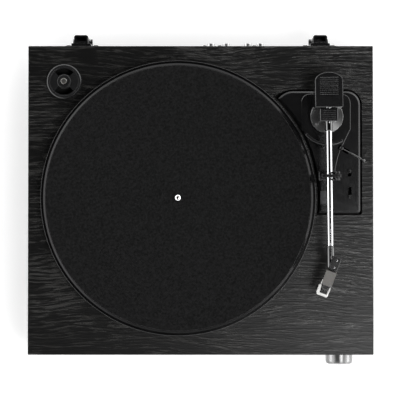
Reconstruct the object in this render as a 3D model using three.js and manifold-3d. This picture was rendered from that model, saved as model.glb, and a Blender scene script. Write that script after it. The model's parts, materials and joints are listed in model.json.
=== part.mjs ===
// Belt-drive turntable record player, in millimetres, +Z up.
// Origin: centre of the footprint, on the surface that the feet stand on. +X right, +Y to the rear.
import * as THREE from "three";
import { mergeVertices } from "three/addons/utils/BufferGeometryUtils.js";
import Module from "manifold-3d";

const wasm = await Module();
wasm.setup();

// ---- Driving dimensions ----

const GAP = 0.3; // between pieces that rest on each other

const WIDTH = 380;
const DEPTH = 340;
const DECK = 74; // height of the plinth's top face
const BOARD = 12; // thickness of every plinth board
const COVER_BOTTOM = 12;
const COVER_TOP = 14;

const FOOT = { radius: 18, inset: 34 };

const PLATTER = { x: -24.5, y: 2, radius: 150, bottom: 3, top: 17, rim: 4, disc: 3.5 };
const PLATTER_BEVEL = { inner: 144.7, outer: 147.2, drop: 1.2 }; // from the mat down to the rim
const MAT = { radius: 144.4, thickness: 2 };
const SPINDLE = { radius: 3.6, top: 31, bottom: -38 };
const BELT_RING = { radius: 88, wall: 3, bottom: 5 };
const BELT = { bottom: 6.2, top: 11.2, thickness: 0.8 };
const MOTOR = { reach: 118, angle: 120, radius: 16, height: 25, pulley: 5.5 };

const ADAPTER = { x: -150, y: 130.3, radius: 19, height: 6, peg: 3.5 };

// The tonearm plate's outline: its left edge is concentric with the platter.
const PLATE = {
  left: 83, right: 175.5, front: -14.2, rear: 119.8,
  platterGap: 155.3, depth: 2.9, top: 1.6, chamfer: 1.2, groove: 0.9, ledge: 5,
};
const RAISED = { left: 110.6, right: 164.8, rear: 117, top: 3 };

const PIVOT = { x: 137.8, y: 91, restAngle: 0.65 };
const TURRET = { radius: 17.9, bottom: 12, top: 14 };
const TILT_AXIS = 29.4; // height above the deck
const TUBE = { axis: 35, radius: 3.2, bore: 2.4, rear: 21, front: -152 };
const BLOCK = { halfWidth: 6.7, halfLength: 6.4, bottom: 26.4, top: 40.4 };
const BLOCK_CAP = { halfWidth: 9.7, halfLength: 7.1, bottom: 38.2 }; // spans the yoke, clear of its tilt
const CHEEK = { inner: 7.1, outer: 9.4, halfLength: 6.3, top: 37.4 };
const HOUSING = { halfWidth: 14.9, front: 7.6, straight: 36, rear: 45.3, bottom: 20, top: 44, wall: 1.8 };
const WEIGHT = { halfWidth: 10, front: 13, rear: 34, bottom: 24, top: 40.5 };
const COLLAR = { radius: 4.1, rear: -140.5, front: -164 };
const HEAD = { x: 4.1, y: -160, offsetAngle: 21.45, halfWidth: 5 };
const SHELL = { halfWidth: 5.7, top: 37.6, sheet: 1.3, front: -25.3, riser: -7.8, tongue: 29.2 };

const LIFT = { inner: 28.5, outer: 33.5, bottom: 28.5, top: 31.3, from: -140, to: -60, rodAngle: -100 };
const LEVER = { x: 155, y: 57, z: 2.2, direction: -30, rise: 12, length: 27.5 };
const REST = { x: 138.7, y: 25.2, halfLength: 4.7, shelf: 31.4, pinX: 146.8, pinZ: 40.2 };

const SPEED_SLOT = { x: 163.8, front: 26.2, rear: 34, knob: 31.8 };
const SIZE_SLOT = { x: 163.8, front: 0.8, rear: 14.4, knob: 3.4 };
const SLOT_WIDTH = 4.2;

const KNOB = { x: 155, z: 42, radius: 15, front: -182.3 };
const LID_HINGE = { x: 132, pinY: 177.2, pinZ: 46, rear: 182.3, width: 15.6, socketTop: 72.5 };

const JACK_Z = 39;
const JACKS = { left_outer: 11.7, left_inner: 28.8, right_inner: 53.3, right_outer: 67.2 };
const JACK_PLATE = { left: -2, right: 98, bottom: 26, top: 58, front: 170.3, rear: 171.8 };
const POWER_INLET_X = 88;

// ---- Materials ----

const finish = (color, roughness, metalness = 0) =>
  new THREE.MeshStandardMaterial({ color, roughness, metalness });

const ASH = finish(0x24221f, 0.6);
const BLACK_MOULDING = finish(0x17171a, 0.45);
const BLACK_PAINT = finish(0x141416, 0.4, 0.3);
const FELT = finish(0x1c1c1e, 0.95);
const CHROME = finish(0xd9d9dc, 0.12, 1);
const SPUN_METAL = finish(0xb9bbbf, 0.3, 1);
const STEEL = finish(0x9a9ca0, 0.35, 1);
const BRASS = finish(0xb08d4c, 0.35, 1);
const GREY_METAL = finish(0x8b8884, 0.4, 0.8);
const WHITE_MOULDING = finish(0xe9e8e4, 0.5);
const RUBBER = finish(0x101010, 0.8);
const CIRCUIT_GREEN = finish(0x1f4a2c, 0.5);

// ---- Solids ----

const radians = THREE.MathUtils.degToRad;

function withoutSlivers(index) {
  const kept = [];
  for (let i = 0; i < index.length; i += 3) {
    const [a, b, c] = [index[i], index[i + 1], index[i + 2]];
    if (a !== b && b !== c && c !== a) kept.push(a, b, c);
  }
  return kept;
}

// A closed mesh with shared vertices and its faces pointing out.
function closed(geometry) {
  const bare = geometry.clone();
  bare.deleteAttribute("normal");
  bare.deleteAttribute("uv");
  const merged = mergeVertices(bare, 1e-4);
  const index = withoutSlivers(merged.index.array);
  const corner = [new THREE.Vector3(), new THREE.Vector3(), new THREE.Vector3()];
  let volume = 0;
  for (let i = 0; i < index.length; i += 3) {
    corner.forEach((point, k) => point.fromBufferAttribute(merged.attributes.position, index[i + k]));
    volume += corner[0].dot(corner[1].cross(corner[2]));
  }
  if (volume < 0) index.reverse();
  merged.setIndex(index);
  return merged;
}

function toManifold(geometry) {
  const shared = closed(geometry);
  const vertProperties = new Float32Array(shared.attributes.position.array);
  const triVerts = new Uint32Array(shared.index.array);
  return new wasm.Manifold(new wasm.Mesh({ numProp: 3, vertProperties, triVerts }));
}

function toGeometry(manifold) {
  const mesh = manifold.getMesh();
  const geometry = new THREE.BufferGeometry();
  geometry.setAttribute("position", new THREE.BufferAttribute(mesh.vertProperties.slice(), 3));
  geometry.setIndex(new THREE.BufferAttribute(mesh.triVerts.slice(), 1));
  return geometry;
}

function join(first, ...others) {
  const whole = others.reduce((sum, piece) => sum.add(toManifold(piece)), toManifold(first));
  return toGeometry(whole);
}

function cut(body, ...tools) {
  const rest = tools.reduce((left, tool) => left.subtract(toManifold(tool)), toManifold(body));
  return toGeometry(rest);
}

function block([x0, x1], [y0, y1], [z0, z1]) {
  const box = new THREE.BoxGeometry(x1 - x0, y1 - y0, z1 - z0);
  return box.translate((x0 + x1) / 2, (y0 + y1) / 2, (z0 + z1) / 2);
}

// A round bar along Z, from z0 to z1.
function bar(radius, z0, z1, sides = 16) {
  const cylinder = new THREE.CylinderGeometry(radius, radius, z1 - z0, sides);
  return cylinder.rotateX(Math.PI / 2).translate(0, 0, (z0 + z1) / 2);
}

const alongX = (geometry) => geometry.rotateY(Math.PI / 2);
// Turns +Z to +Y, so that heights become distances to the rear.
const alongY = (geometry) => geometry.rotateX(-Math.PI / 2);

// A profile of [radius, height] pairs turned round the Z axis.
function turned(profile, sides = 24) {
  const points = profile.map(([r, z]) => new THREE.Vector2(r, z));
  return closed(new THREE.LatheGeometry(points, sides).rotateX(Math.PI / 2));
}

function ring(inner, outer, z0, z1, sides = 20) {
  return turned([[inner, z0], [outer, z0], [outer, z1], [inner, z1], [inner, z0]], sides);
}

function polygon(points) {
  return new THREE.Shape(points.map(([x, y]) => new THREE.Vector2(x, y)));
}

// A flat outline, given in X and Y, from z0 up to z1.
function prism(shape, z0, z1, curveSegments = 10) {
  const options = { depth: z1 - z0, bevelEnabled: false, curveSegments };
  return new THREE.ExtrudeGeometry(shape, options).translate(0, 0, z0);
}

// An outline's points, without the last one where it repeats the first.
function openPoints(shape, divisions) {
  const points = shape.getPoints(divisions);
  return points.at(-1).distanceTo(points[0]) < 1e-6 ? points.slice(0, -1) : points;
}

// Outlines with equal point counts, stacked at their heights: [[points, z], ...] from the bottom up.
function stacked(layers) {
  const count = layers[0][0].length;
  const vertices = layers.flatMap(([points, z]) => points.flatMap(({ x, y }) => [x, y, z]));
  const index = [];
  for (let layer = 0; layer + 1 < layers.length; layer += 1) {
    for (let i = 0; i < count; i += 1) {
      const [a, b] = [layer * count + i, layer * count + ((i + 1) % count)];
      index.push(a, b, b + count, a, b + count, a + count);
    }
  }
  for (const [a, b, c] of THREE.ShapeUtils.triangulateShape(layers[0][0], [])) {
    const lid = (layers.length - 1) * count;
    index.push(c, b, a, lid + a, lid + b, lid + c);
  }
  const geometry = new THREE.BufferGeometry();
  geometry.setAttribute("position", new THREE.Float32BufferAttribute(vertices, 3));
  geometry.setIndex(index);
  return closed(geometry);
}

// An outline drawn in Y and Z, carried along X from x0 to x1.
function sideProfile(points, x0, x1) {
  return prism(polygon(points), x0, x1).rotateX(Math.PI / 2).rotateZ(Math.PI / 2);
}

// A piece of round wire through the points.
function wire(points, radius, sides = 8) {
  const section = new THREE.Shape().absarc(0, 0, radius, 0, Math.PI * 2);
  const path = new THREE.CatmullRomCurve3(points.map((point) => new THREE.Vector3(...point)));
  const steps = (points.length - 1) * 3;
  return new THREE.ExtrudeGeometry(section, { steps, extrudePath: path, curveSegments: sides / 2 });
}

function add(group, name, geometry, material) {
  const mesh = new THREE.Mesh(geometry, material);
  mesh.name = name;
  group.add(mesh);
}

function place(parent, x, y, z, turn = 0) {
  const group = new THREE.Group();
  group.position.set(x, y, z);
  group.rotation.z = radians(turn);
  parent.add(group);
  return group;
}

const polar = (radius, angle) => [radius * Math.cos(radians(angle)), radius * Math.sin(radians(angle))];

// ---- Plinth ----

// The concave edge's point at a given height Y, at some distance from the platter's centre.
function besidePlatter(distance, y) {
  return PLATTER.x + Math.sqrt(distance ** 2 - (y - PLATTER.y) ** 2);
}

// The tonearm plate's outline, grown by some margin.
function plateOutline(margin) {
  const near = PLATE.platterGap - margin;
  const top = 111.8 + margin;
  const front = PLATE.front - margin;
  const right = PLATE.right + margin;
  const rear = PLATE.rear + margin;
  const angleAt = (y) => Math.asin((y - PLATTER.y) / near);
  const corner = 15 + margin;
  const shape = new THREE.Shape();
  shape.moveTo(besidePlatter(near, front), front);
  shape.lineTo(right - 3, front);
  shape.absarc(right - 3, front + 3, 3, -Math.PI / 2, 0);
  shape.lineTo(right, rear - corner);
  shape.absarc(right - corner, rear - corner, corner, 0, Math.PI / 2);
  shape.lineTo(PLATE.left + 15, rear);
  shape.quadraticCurveTo(PLATE.left + 7, rear - 0.5, besidePlatter(near, top), top);
  shape.absarc(PLATTER.x, PLATTER.y, near, angleAt(top), angleAt(front), true);
  return shape;
}

function topBoard() {
  const board = block([-WIDTH / 2, WIDTH / 2], [-DEPTH / 2, DEPTH / 2], [-BOARD, 0]);
  const recess = prism(plateOutline(PLATE.groove), -PLATE.depth - GAP, 1, 12);
  const well = prism(plateOutline(-PLATE.ledge), -BOARD - 1, 1, 6);
  const bearing = bar(8, -BOARD - 1, 1).translate(PLATTER.x, PLATTER.y, 0);
  const [motorX, motorY] = polar(MOTOR.reach, MOTOR.angle);
  const shaftHole = bar(8, -BOARD - 1, 1).translate(PLATTER.x + motorX, PLATTER.y + motorY, 0);
  const pegHole = bar(2.8, -BOARD - 1, 1).translate(ADAPTER.x, ADAPTER.y, 0);
  return cut(board, recess, well, bearing, shaftHole, pegHole);
}

// A side board with mitred ends: length along X, outer face at y = 0, inner face at y = BOARD.
function sideBoard(length) {
  const half = length / 2;
  const outline = [[-half, 0], [half, 0], [half - BOARD, BOARD], [BOARD - half, BOARD]];
  return prism(polygon(outline), COVER_TOP, DECK - BOARD);
}

function frontBoard() {
  const bushingHole = alongY(bar(4.6, -1, BOARD + 1)).translate(KNOB.x, 0, KNOB.z);
  return cut(sideBoard(WIDTH - GAP), bushingHole).translate(0, -DEPTH / 2, 0);
}

function rearBoard() {
  const board = sideBoard(WIDTH - GAP).rotateZ(Math.PI).translate(0, DEPTH / 2, 0);
  const window = block(
    [JACK_PLATE.left + 4, JACK_PLATE.right - 4],
    [DEPTH / 2 - BOARD - 1, DEPTH / 2 + 1],
    [JACK_Z - 8, JACK_Z + 8],
  );
  return cut(board, window);
}

function foot() {
  const profile = [[0, 0], [14.5, 0], [15.5, 1], [17.2, 3.4], [17.2, 4.4], [FOOT.radius, 5.2],
    [FOOT.radius, COVER_BOTTOM], [0, COVER_BOTTOM]];
  return turned(profile, 20);
}

function addPlinth(player) {
  const deck = place(player, 0, 0, DECK);
  add(deck, "top_board", topBoard(), ASH);
  add(player, "front_board", frontBoard(), ASH);
  add(player, "rear_board", rearBoard(), ASH);
  const sideLength = DEPTH - GAP;
  for (const [name, side] of [["left_board", -1], ["right_board", 1]]) {
    const board = sideBoard(sideLength).rotateZ((-side * Math.PI) / -2);
    add(player, name, board.translate((side * WIDTH) / 2, 0, 0), ASH);
  }
  const [coverX, coverY] = [WIDTH / 2 - 3, DEPTH / 2 - 3];
  const cover = block([-coverX, coverX], [-coverY, coverY], [COVER_BOTTOM, COVER_TOP]);
  add(player, "bottom_cover", cover, BLACK_PAINT);
  for (const [row, sideY] of [["front", -1], ["rear", 1]]) {
    for (const [column, sideX] of [["left", -1], ["right", 1]]) {
      const x = sideX * (WIDTH / 2 - FOOT.inset);
      const y = sideY * (DEPTH / 2 - FOOT.inset);
      add(place(player, x, y, 0), `foot_${row}_${column}`, foot(), RUBBER);
    }
  }
}

// ---- Platter and its drive ----

function platter() {
  const { radius, bottom, top, rim, disc } = PLATTER;
  const ceiling = top - disc;
  const rimTop = top - PLATTER_BEVEL.drop;
  const hub = 14;
  const bore = SPINDLE.radius + 0.05;
  const ringInner = BELT_RING.radius - BELT_RING.wall;
  const profile = [
    [bore, 5], [hub, 5], [hub, ceiling],
    [ringInner, ceiling], [ringInner, BELT_RING.bottom], [BELT_RING.radius, BELT_RING.bottom],
    [BELT_RING.radius, ceiling], [radius - rim, ceiling],
    [radius - rim, bottom], [radius - 1, bottom], [radius, bottom + 1],
    [radius, rimTop - 0.5], [radius - 0.5, rimTop], [PLATTER_BEVEL.outer, rimTop],
    [PLATTER_BEVEL.inner, top], [bore, top], [bore, 5],
  ];
  return turned(profile, 64);
}

function spindle() {
  const { radius, top, bottom } = SPINDLE;
  const shoulder = 9;
  const profile = [[0, bottom], [radius, bottom], [radius, 2.6], [shoulder, 2.6], [shoulder, 4.7],
    [radius, 4.7], [radius, top - 2.2], [radius * 0.86, top - 0.9], [radius * 0.5, top - 0.2], [0, top]];
  return turned(profile, 20);
}

function bearingHousing() {
  const bore = SPINDLE.radius + 0.15;
  const profile = [[bore, -44], [7.5, -44], [7.5, 0.3], [15, 0.3], [15, 2], [bore, 2], [bore, -44]];
  return turned(profile, 20);
}

function beltOutline(offset) {
  const ringRadius = BELT_RING.radius + GAP + offset;
  const pulleyRadius = MOTOR.pulley + GAP + offset;
  const tangent = Math.acos((ringRadius - pulleyRadius) / MOTOR.reach);
  const outline = new THREE.Shape();
  outline.absarc(0, 0, ringRadius, tangent, Math.PI * 2 - tangent);
  outline.absarc(MOTOR.reach, 0, pulleyRadius, -tangent, tangent);
  return outline;
}

function driveBelt() {
  const loop = prism(beltOutline(BELT.thickness), BELT.bottom, BELT.top, 20);
  const inside = prism(beltOutline(0), BELT.bottom - 1, BELT.top + 1, 20);
  return cut(loop, inside).rotateZ(radians(MOTOR.angle));
}

function motorPulley() {
  const groove = MOTOR.pulley;
  const flange = groove + 1.3;
  const profile = [[0, -22], [1, -22], [1, 3.6], [3, 3.6], [flange, 4.8], [flange, 5.6], [groove, 6],
    [groove, 11.6], [flange, 12], [flange, 12.6], [0, 12.6]];
  return turned(profile, 16);
}

function motor() {
  const lid = -BOARD - 2.1;
  const bore = 1.3;
  const bossTop = -BOARD + 1;
  const profile = [[0, lid - MOTOR.height], [MOTOR.radius - 1, lid - MOTOR.height],
    [MOTOR.radius, lid - MOTOR.height + 1], [MOTOR.radius, lid], [5, lid], [5, bossTop],
    [bore, bossTop], [bore, -24], [0, -24]];
  return turned(profile, 20);
}

function motorBracket() {
  const plate = block([-30, 30], [-20, 20], [-BOARD - 1.8, -BOARD - GAP]);
  const screwHoles = [-24, 24].map((x) => bar(2.2, -BOARD - 3, -BOARD + 1, 12).translate(x, 0, 0));
  return cut(plate, bar(6, -BOARD - 3, -BOARD + 1), ...screwHoles);
}

function addPlatter(player) {
  const centre = place(player, PLATTER.x, PLATTER.y, DECK);
  add(centre, "platter", platter(), BLACK_PAINT);
  add(centre, "slipmat", ring(4.2, MAT.radius, PLATTER.top + 0.1, PLATTER.top + MAT.thickness, 64), FELT);
  add(centre, "spindle", spindle(), CHROME);
  add(centre, "bearing_housing", bearingHousing(), BRASS);
  add(centre, "drive_belt", driveBelt(), RUBBER);
  const [x, y] = polar(MOTOR.reach, MOTOR.angle);
  const drive = place(centre, x, y, 0);
  add(drive, "motor_pulley", motorPulley(), BRASS);
  add(drive, "motor", motor(), STEEL);
  add(drive, "motor_bracket", motorBracket(), BLACK_PAINT);
}

// ---- 45-rpm adapter ----

function adapter() {
  const { radius, height, peg } = ADAPTER;
  const hub = 7;
  const bore = peg + 0.25;
  const profile = [[bore, GAP], [radius - 0.6, GAP], [radius, 1], [radius, height - 0.8],
    [radius - 0.8, height], [16, height], [15.4, height - 1.2], [hub, height - 1.2], [hub, height + 1.4],
    [bore, height + 1.4], [bore, GAP]];
  const slots = [90, 270].map((middle) => {
    const [from, to] = [radians(middle - 45), radians(middle + 45)];
    const slot = new THREE.Shape();
    slot.absarc(0, 0, 14.4, from, to);
    slot.absarc(0, 0, 8.4, to, from, true);
    return prism(slot, -1, height + 3, 5);
  });
  return cut(turned(profile, 32), ...slots);
}

function adapterPeg() {
  const { peg } = ADAPTER;
  const profile = [[0, -BOARD + 1], [2.5, -BOARD + 1], [2.5, GAP], [peg, GAP], [peg, 8], [peg - 0.8, 8.8],
    [0, 8.8]];
  return turned(profile, 16);
}

function addAdapter(player) {
  const centre = place(player, ADAPTER.x, ADAPTER.y, DECK);
  add(centre, "adapter_45", adapter(), BLACK_MOULDING);
  add(centre, "adapter_peg", adapterPeg(), GREY_METAL);
}

// ---- Tonearm plate and what stands on it ----

// The raised area round the pivot narrows towards the arm rest.
function raisedOutline() {
  const { left, right, rear } = RAISED;
  const near = PLATE.platterGap + 0.4;
  const shape = new THREE.Shape();
  shape.moveTo(left, 77);
  shape.lineTo(left, rear - 10);
  shape.quadraticCurveTo(left + 0.5, rear, left + 11, rear);
  shape.lineTo(right - 11, rear);
  shape.quadraticCurveTo(right, rear - 1, right, rear - 11);
  shape.lineTo(right, 78);
  shape.lineTo(157, 62);
  shape.quadraticCurveTo(150.5, 50, 148, 33);
  shape.lineTo(148, 31.5);
  shape.lineTo(besidePlatter(near, 31.5), 31.5);
  const startAngle = Math.asin((31.5 - PLATTER.y) / near);
  const endAngle = Math.asin((76 - PLATTER.y) / near);
  shape.absarc(PLATTER.x, PLATTER.y, near, startAngle, endAngle);
  return shape;
}

function leverSlot() {
  const [length, halfWidth] = [9, 2];
  const slot = block([-3.2, length], [-halfWidth, halfWidth], [-PLATE.depth - 1, RAISED.top + 1]);
  return slot.rotateZ(radians(LEVER.direction)).translate(LEVER.x, LEVER.y, 0);
}

function slideSlot({ x, front, rear }) {
  return block([x - SLOT_WIDTH / 2, x + SLOT_WIDTH / 2], [front, rear], [-PLATE.depth - 1, PLATE.top + 1]);
}

function liftRodPlace() {
  const [x, y] = polar((LIFT.inner + LIFT.outer) / 2, LIFT.rodAngle);
  return [PIVOT.x + x, PIVOT.y + y];
}

function tonearmPlate() {
  const { depth, top, chamfer } = PLATE;
  const edge = openPoints(plateOutline(0), 12);
  const brink = openPoints(plateOutline(-chamfer), 12);
  const base = stacked([[edge, -depth], [edge, top - chamfer], [brink, top]]);
  const raised = prism(raisedOutline(), 0, RAISED.top, 6);
  const [rodX, rodY] = liftRodPlace();
  const guide = bar(4.5, 0, 9).translate(rodX, rodY, 0);
  const guideBore = bar(2.3, -PLATE.depth - 1, 10).translate(rodX, rodY, 0);
  const columnHole = bar(8.4, -PLATE.depth - 1, RAISED.top + 1).translate(PIVOT.x, PIVOT.y, 0);
  const slots = [slideSlot(SPEED_SLOT), slideSlot(SIZE_SLOT)];
  return cut(join(base, raised, guide), guideBore, columnHole, leverSlot(), ...slots);
}

function armColumn() {
  const bore = 3.3;
  const foot = RAISED.top + GAP;
  const profile = [[bore, -34], [8, -34], [8, foot], [14, foot], [14, TURRET.bottom - GAP],
    [bore, TURRET.bottom - GAP], [bore, -34]];
  return turned(profile, 24);
}

function turretDisc() {
  const { radius, bottom, top } = TURRET;
  const profile = [[5, bottom], [radius - 0.4, bottom], [radius, bottom + 0.4], [radius, top - 0.5],
    [radius - 0.5, top], [5, top], [5, bottom]];
  return turned(profile, 40);
}

function armRest() {
  const { x, y, halfLength, shelf, pinX, pinZ } = REST;
  const sides = [y - halfLength, y + halfLength];
  const pedestal = block([x - 7, x + 7], sides, [PLATE.top + GAP, shelf - 4]);
  const cradle = block([127.5, pinX + 2.6], sides, [shelf - 5, shelf]);
  const ears = [-1, 1].map((side) => {
    const thickness = [halfLength - 2.1, halfLength].map((reach) => y + side * reach).sort((a, b) => a - b);
    const ear = block([pinX - 2.6, pinX + 2.6], thickness, [shelf - 1, pinZ]);
    const round = alongY(bar(2.6, ...thickness, 14)).translate(pinX, 0, pinZ);
    return join(ear, round);
  });
  const pinHole = alongY(bar(1.25, y - 6, y + 6, 12)).translate(pinX, 0, pinZ);
  return cut(join(pedestal, cradle, ...ears), pinHole);
}

function restClip() {
  const { y, pinX, pinZ } = REST;
  const roofBottom = pinZ + 3.1;
  const roofTop = roofBottom + 1.7;
  const [tip, heel] = [129, pinX - 0.6];
  const outline = polygon([[tip, y - 1.5], [heel, y - 4.3], [heel, y + 4.3], [tip, y + 1.5]]);
  const roof = prism(outline, roofBottom, roofTop);
  const knuckle = alongY(bar(2.5, y - 2.2, y + 2.2, 14)).translate(pinX, 0, pinZ);
  const web = block([pinX - 2.4, pinX + 2.4], [y - 2.2, y + 2.2], [pinZ, roofTop]);
  const tab = block([pinX + 1.5, pinX + 3.6], [y - 2.2, y + 2.2], [pinZ - 0.5, roofTop]);
  const pinHole = alongY(bar(1.3, y - 6, y + 6, 12)).translate(pinX, 0, pinZ);
  return cut(join(roof, knuckle, web, tab), pinHole);
}

function clipPin() {
  const { y, halfLength, pinX, pinZ } = REST;
  return alongY(bar(1, y - halfLength, y + halfLength, 12)).translate(pinX, 0, pinZ);
}

function cuePlatform() {
  const [from, to] = [radians(LIFT.from), radians(LIFT.to)];
  const arc = new THREE.Shape();
  arc.absarc(0, 0, LIFT.outer, from, to);
  arc.absarc(0, 0, LIFT.inner, to, from, true);
  const bow = prism(arc, LIFT.bottom, LIFT.top, 10).translate(PIVOT.x, PIVOT.y, 0);
  const [rodX, rodY] = liftRodPlace();
  return join(bow, bar(2, -10, LIFT.bottom + 1, 14).translate(rodX, rodY, 0));
}

function cueLever() {
  const { x, y, z, direction, rise, length } = LEVER;
  const hub = alongY(bar(2.6, -1.6, 1.6, 14));
  const tip = [length, 0, length * Math.tan(radians(rise))];
  const arm = wire([[0, 0, 0], [length / 2, 0, tip[2] / 2], tip], 1.1);
  const ball = new THREE.SphereGeometry(1.7, 10, 6).translate(...tip);
  return join(hub, arm, ball).rotateZ(radians(direction)).translate(x, y, z);
}

function slider({ x, knob }, halfLength) {
  const y = [knob - halfLength, knob + halfLength];
  const cap = block([x - 1.6, x + 1.6], y, [PLATE.top - 1, PLATE.top + 2]);
  const stem = block([x - 1.2, x + 1.2], [knob - 1.2, knob + 1.2], [-8, PLATE.top]);
  return join(cap, stem);
}

function switchBody({ x, front, rear }) {
  const top = -PLATE.depth - 0.4;
  const body = block([x - 5, x + 5], [front - 3, rear + 3], [-11, top]);
  return cut(body, block([x - 1.8, x + 1.8], [front, rear], [-8.6, top + 1]));
}

function addTonearmPlate(player) {
  const deck = place(player, 0, 0, DECK);
  add(deck, "tonearm_plate", tonearmPlate(), BLACK_MOULDING);
  add(deck, "arm_rest", armRest(), BLACK_MOULDING);
  add(deck, "rest_clip", restClip(), BLACK_MOULDING);
  add(deck, "clip_pin", clipPin(), STEEL);
  add(deck, "cue_platform", cuePlatform(), BLACK_MOULDING);
  add(deck, "cue_lever", cueLever(), CHROME);
  add(deck, "speed_slider", slider(SPEED_SLOT, 1.8), BLACK_MOULDING);
  add(deck, "size_slider", slider(SIZE_SLOT, 2.2), BLACK_MOULDING);
  add(deck, "speed_switch", switchBody(SPEED_SLOT), BLACK_MOULDING);
  add(deck, "size_switch", switchBody(SIZE_SLOT), BLACK_MOULDING);
  const pivot = place(deck, PIVOT.x, PIVOT.y, 0);
  add(pivot, "arm_column", armColumn(), BLACK_MOULDING);
  add(pivot, "turret_disc", turretDisc(), SPUN_METAL);
}

// ---- Tonearm, drawn with the pivot at the origin and the tube along -Y ----

function pivotYoke() {
  const { inner, outer, halfLength, top } = CHEEK;
  const length = [-halfLength, halfLength];
  const base = block([-outer, outer], length, [TURRET.top + 0.4, 20]);
  const cheeks = [[-outer, -inner], [inner, outer]].map((x) => block(x, length, [18, top]));
  const shaft = bar(3, -32, 16);
  return cut(join(base, ...cheeks, shaft), alongX(bar(1.85, -12, 12, 12)).translate(0, 0, TILT_AXIS));
}

function pivotBlock() {
  const { halfWidth, halfLength, bottom, top } = BLOCK;
  const across = (half) => [-half, half];
  const body = block(across(halfWidth), across(halfLength), [bottom, top - 0.5]);
  const cap = block(across(BLOCK_CAP.halfWidth), across(BLOCK_CAP.halfLength), [BLOCK_CAP.bottom, top - 0.5]);
  const ribs = [-4.4, -2.2, 0, 2.2, 4.4].map((y) =>
    block(across(halfWidth), [y - 0.55, y + 0.55], [top - 1, top]));
  const nose = alongY(bar(4.2, -17.3, 0, 20)).translate(0, 0, TUBE.axis);
  const tubeBore = alongY(bar(TUBE.radius + GAP, -20, 20, 20)).translate(0, 0, TUBE.axis);
  const axleBore = alongX(bar(1.75, -12, 12, 12)).translate(0, 0, TILT_AXIS);
  return cut(join(body, cap, nose, ...ribs), tubeBore, axleBore);
}

function armTube() {
  return alongY(ring(TUBE.bore, TUBE.radius, TUBE.front, TUBE.rear, 20)).translate(0, 0, TUBE.axis);
}

function housingOutline(inset) {
  const { halfWidth, front, straight, rear } = HOUSING;
  const half = halfWidth - inset;
  const shape = new THREE.Shape();
  shape.moveTo(-half, front + inset);
  shape.lineTo(half, front + inset);
  shape.lineTo(half, straight);
  shape.absellipse(0, straight, half, rear - straight - inset, 0, Math.PI);
  return shape;
}

function counterweightHousing() {
  const { bottom, top, wall } = HOUSING;
  const shell = prism(housingOutline(0), bottom, top, 8);
  const ribs = Array.from({ length: 9 }, (_, k) => {
    const y = 21.6 + k * 2.2;
    return block([-10, 10], [y - 0.6, y + 0.6], [top - 1, top + 0.7]);
  });
  const hollow = prism(housingOutline(wall), bottom - 1, top - wall, 8);
  const tubeHole = alongY(bar(TUBE.radius + 0.4, 0, 12, 16)).translate(0, 0, TUBE.axis);
  return cut(join(shell, ...ribs), hollow, tubeHole);
}

function counterweight() {
  const { halfWidth, front, rear, bottom, top } = WEIGHT;
  const slug = block([-halfWidth, halfWidth], [front, rear], [bottom, top]);
  const bore = alongY(bar(TUBE.radius + 0.3, front - 1, TUBE.rear + 0.4, 16)).translate(0, 0, TUBE.axis);
  return cut(slug, bore);
}

function frontCollar() {
  const { radius, rear, front } = COLLAR;
  const bore = TUBE.radius + GAP;
  const bottom = TUBE.front - 0.4;
  const profile = [[0, front], [radius, front], [radius, rear - 0.5], [radius - 0.4, rear], [bore, rear],
    [bore, bottom], [0, bottom]];
  return alongY(turned(profile, 20)).translate(0, 0, TUBE.axis);
}

function headshellBlock() {
  const { x, y, offsetAngle, halfWidth } = HEAD;
  const body = block([-halfWidth, halfWidth], [-7.4, 7.5], [SHELL.tongue + SHELL.sheet + GAP, 41]);
  const socket = alongY(bar(COLLAR.radius + GAP, COLLAR.front - 0.4, COLLAR.rear + 20, 20));
  const inArmFrame = socket.translate(-x, -y, TUBE.axis).rotateZ(radians(offsetAngle));
  return cut(body, inArmFrame);
}

function headshell() {
  const { halfWidth, top, sheet, front, riser, tongue } = SHELL;
  const profile = [[5, tongue], [5, tongue + sheet], [riser, tongue + sheet], [riser, top], [front, top],
    [front, top - sheet], [riser - sheet, top - sheet], [riser - sheet, tongue]];
  return sideProfile(profile, -halfWidth, halfWidth);
}

function cartridge() {
  const profile = [[-9.6, 36], [-9.6, 27], [-12, 24.6], [-24, 24.6], [-24.4, 26], [-24.4, 36]];
  return sideProfile(profile, -4.5, 4.5);
}

function stylus() {
  const profile = [[-24.8, 32], [-24.8, 25], [-28, 25], [-30.5, 27], [-30.5, 30.5], [-29, 32]];
  const holder = sideProfile(profile, -3.2, 3.2);
  const cantilever = wire([[0, -29, 27], [0, -31, 25.6], [0, -33, 24.2]], 0.5);
  const tip = new THREE.ConeGeometry(0.5, 2.2, 8).rotateX(-Math.PI / 2).translate(0, -32.8, 23.2);
  return join(holder, cantilever, tip);
}

function stylusGuard() {
  const height = [22.4, 31];
  const leftArm = block([-6.4, -4], [-37, -26], height);
  const rightArm = block([4.4, 6], [-37, -26], height);
  const nose = block([-6.4, 6], [-37.3, -34.4], height);
  const clips = [[-5.6, -4.9], [4.9, 5.6]].map((x) => block(x, [-27, -20], [27, 31]));
  return join(leftArm, rightArm, nose, ...clips);
}

function fingerLift() {
  const z = SHELL.top + 0.95;
  return wire([[2.8, -22.8, z], [6, -24.9, z], [13.5, -25.2, z + 0.5], [20.8, -24.8, z + 2]], 0.65);
}

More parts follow.
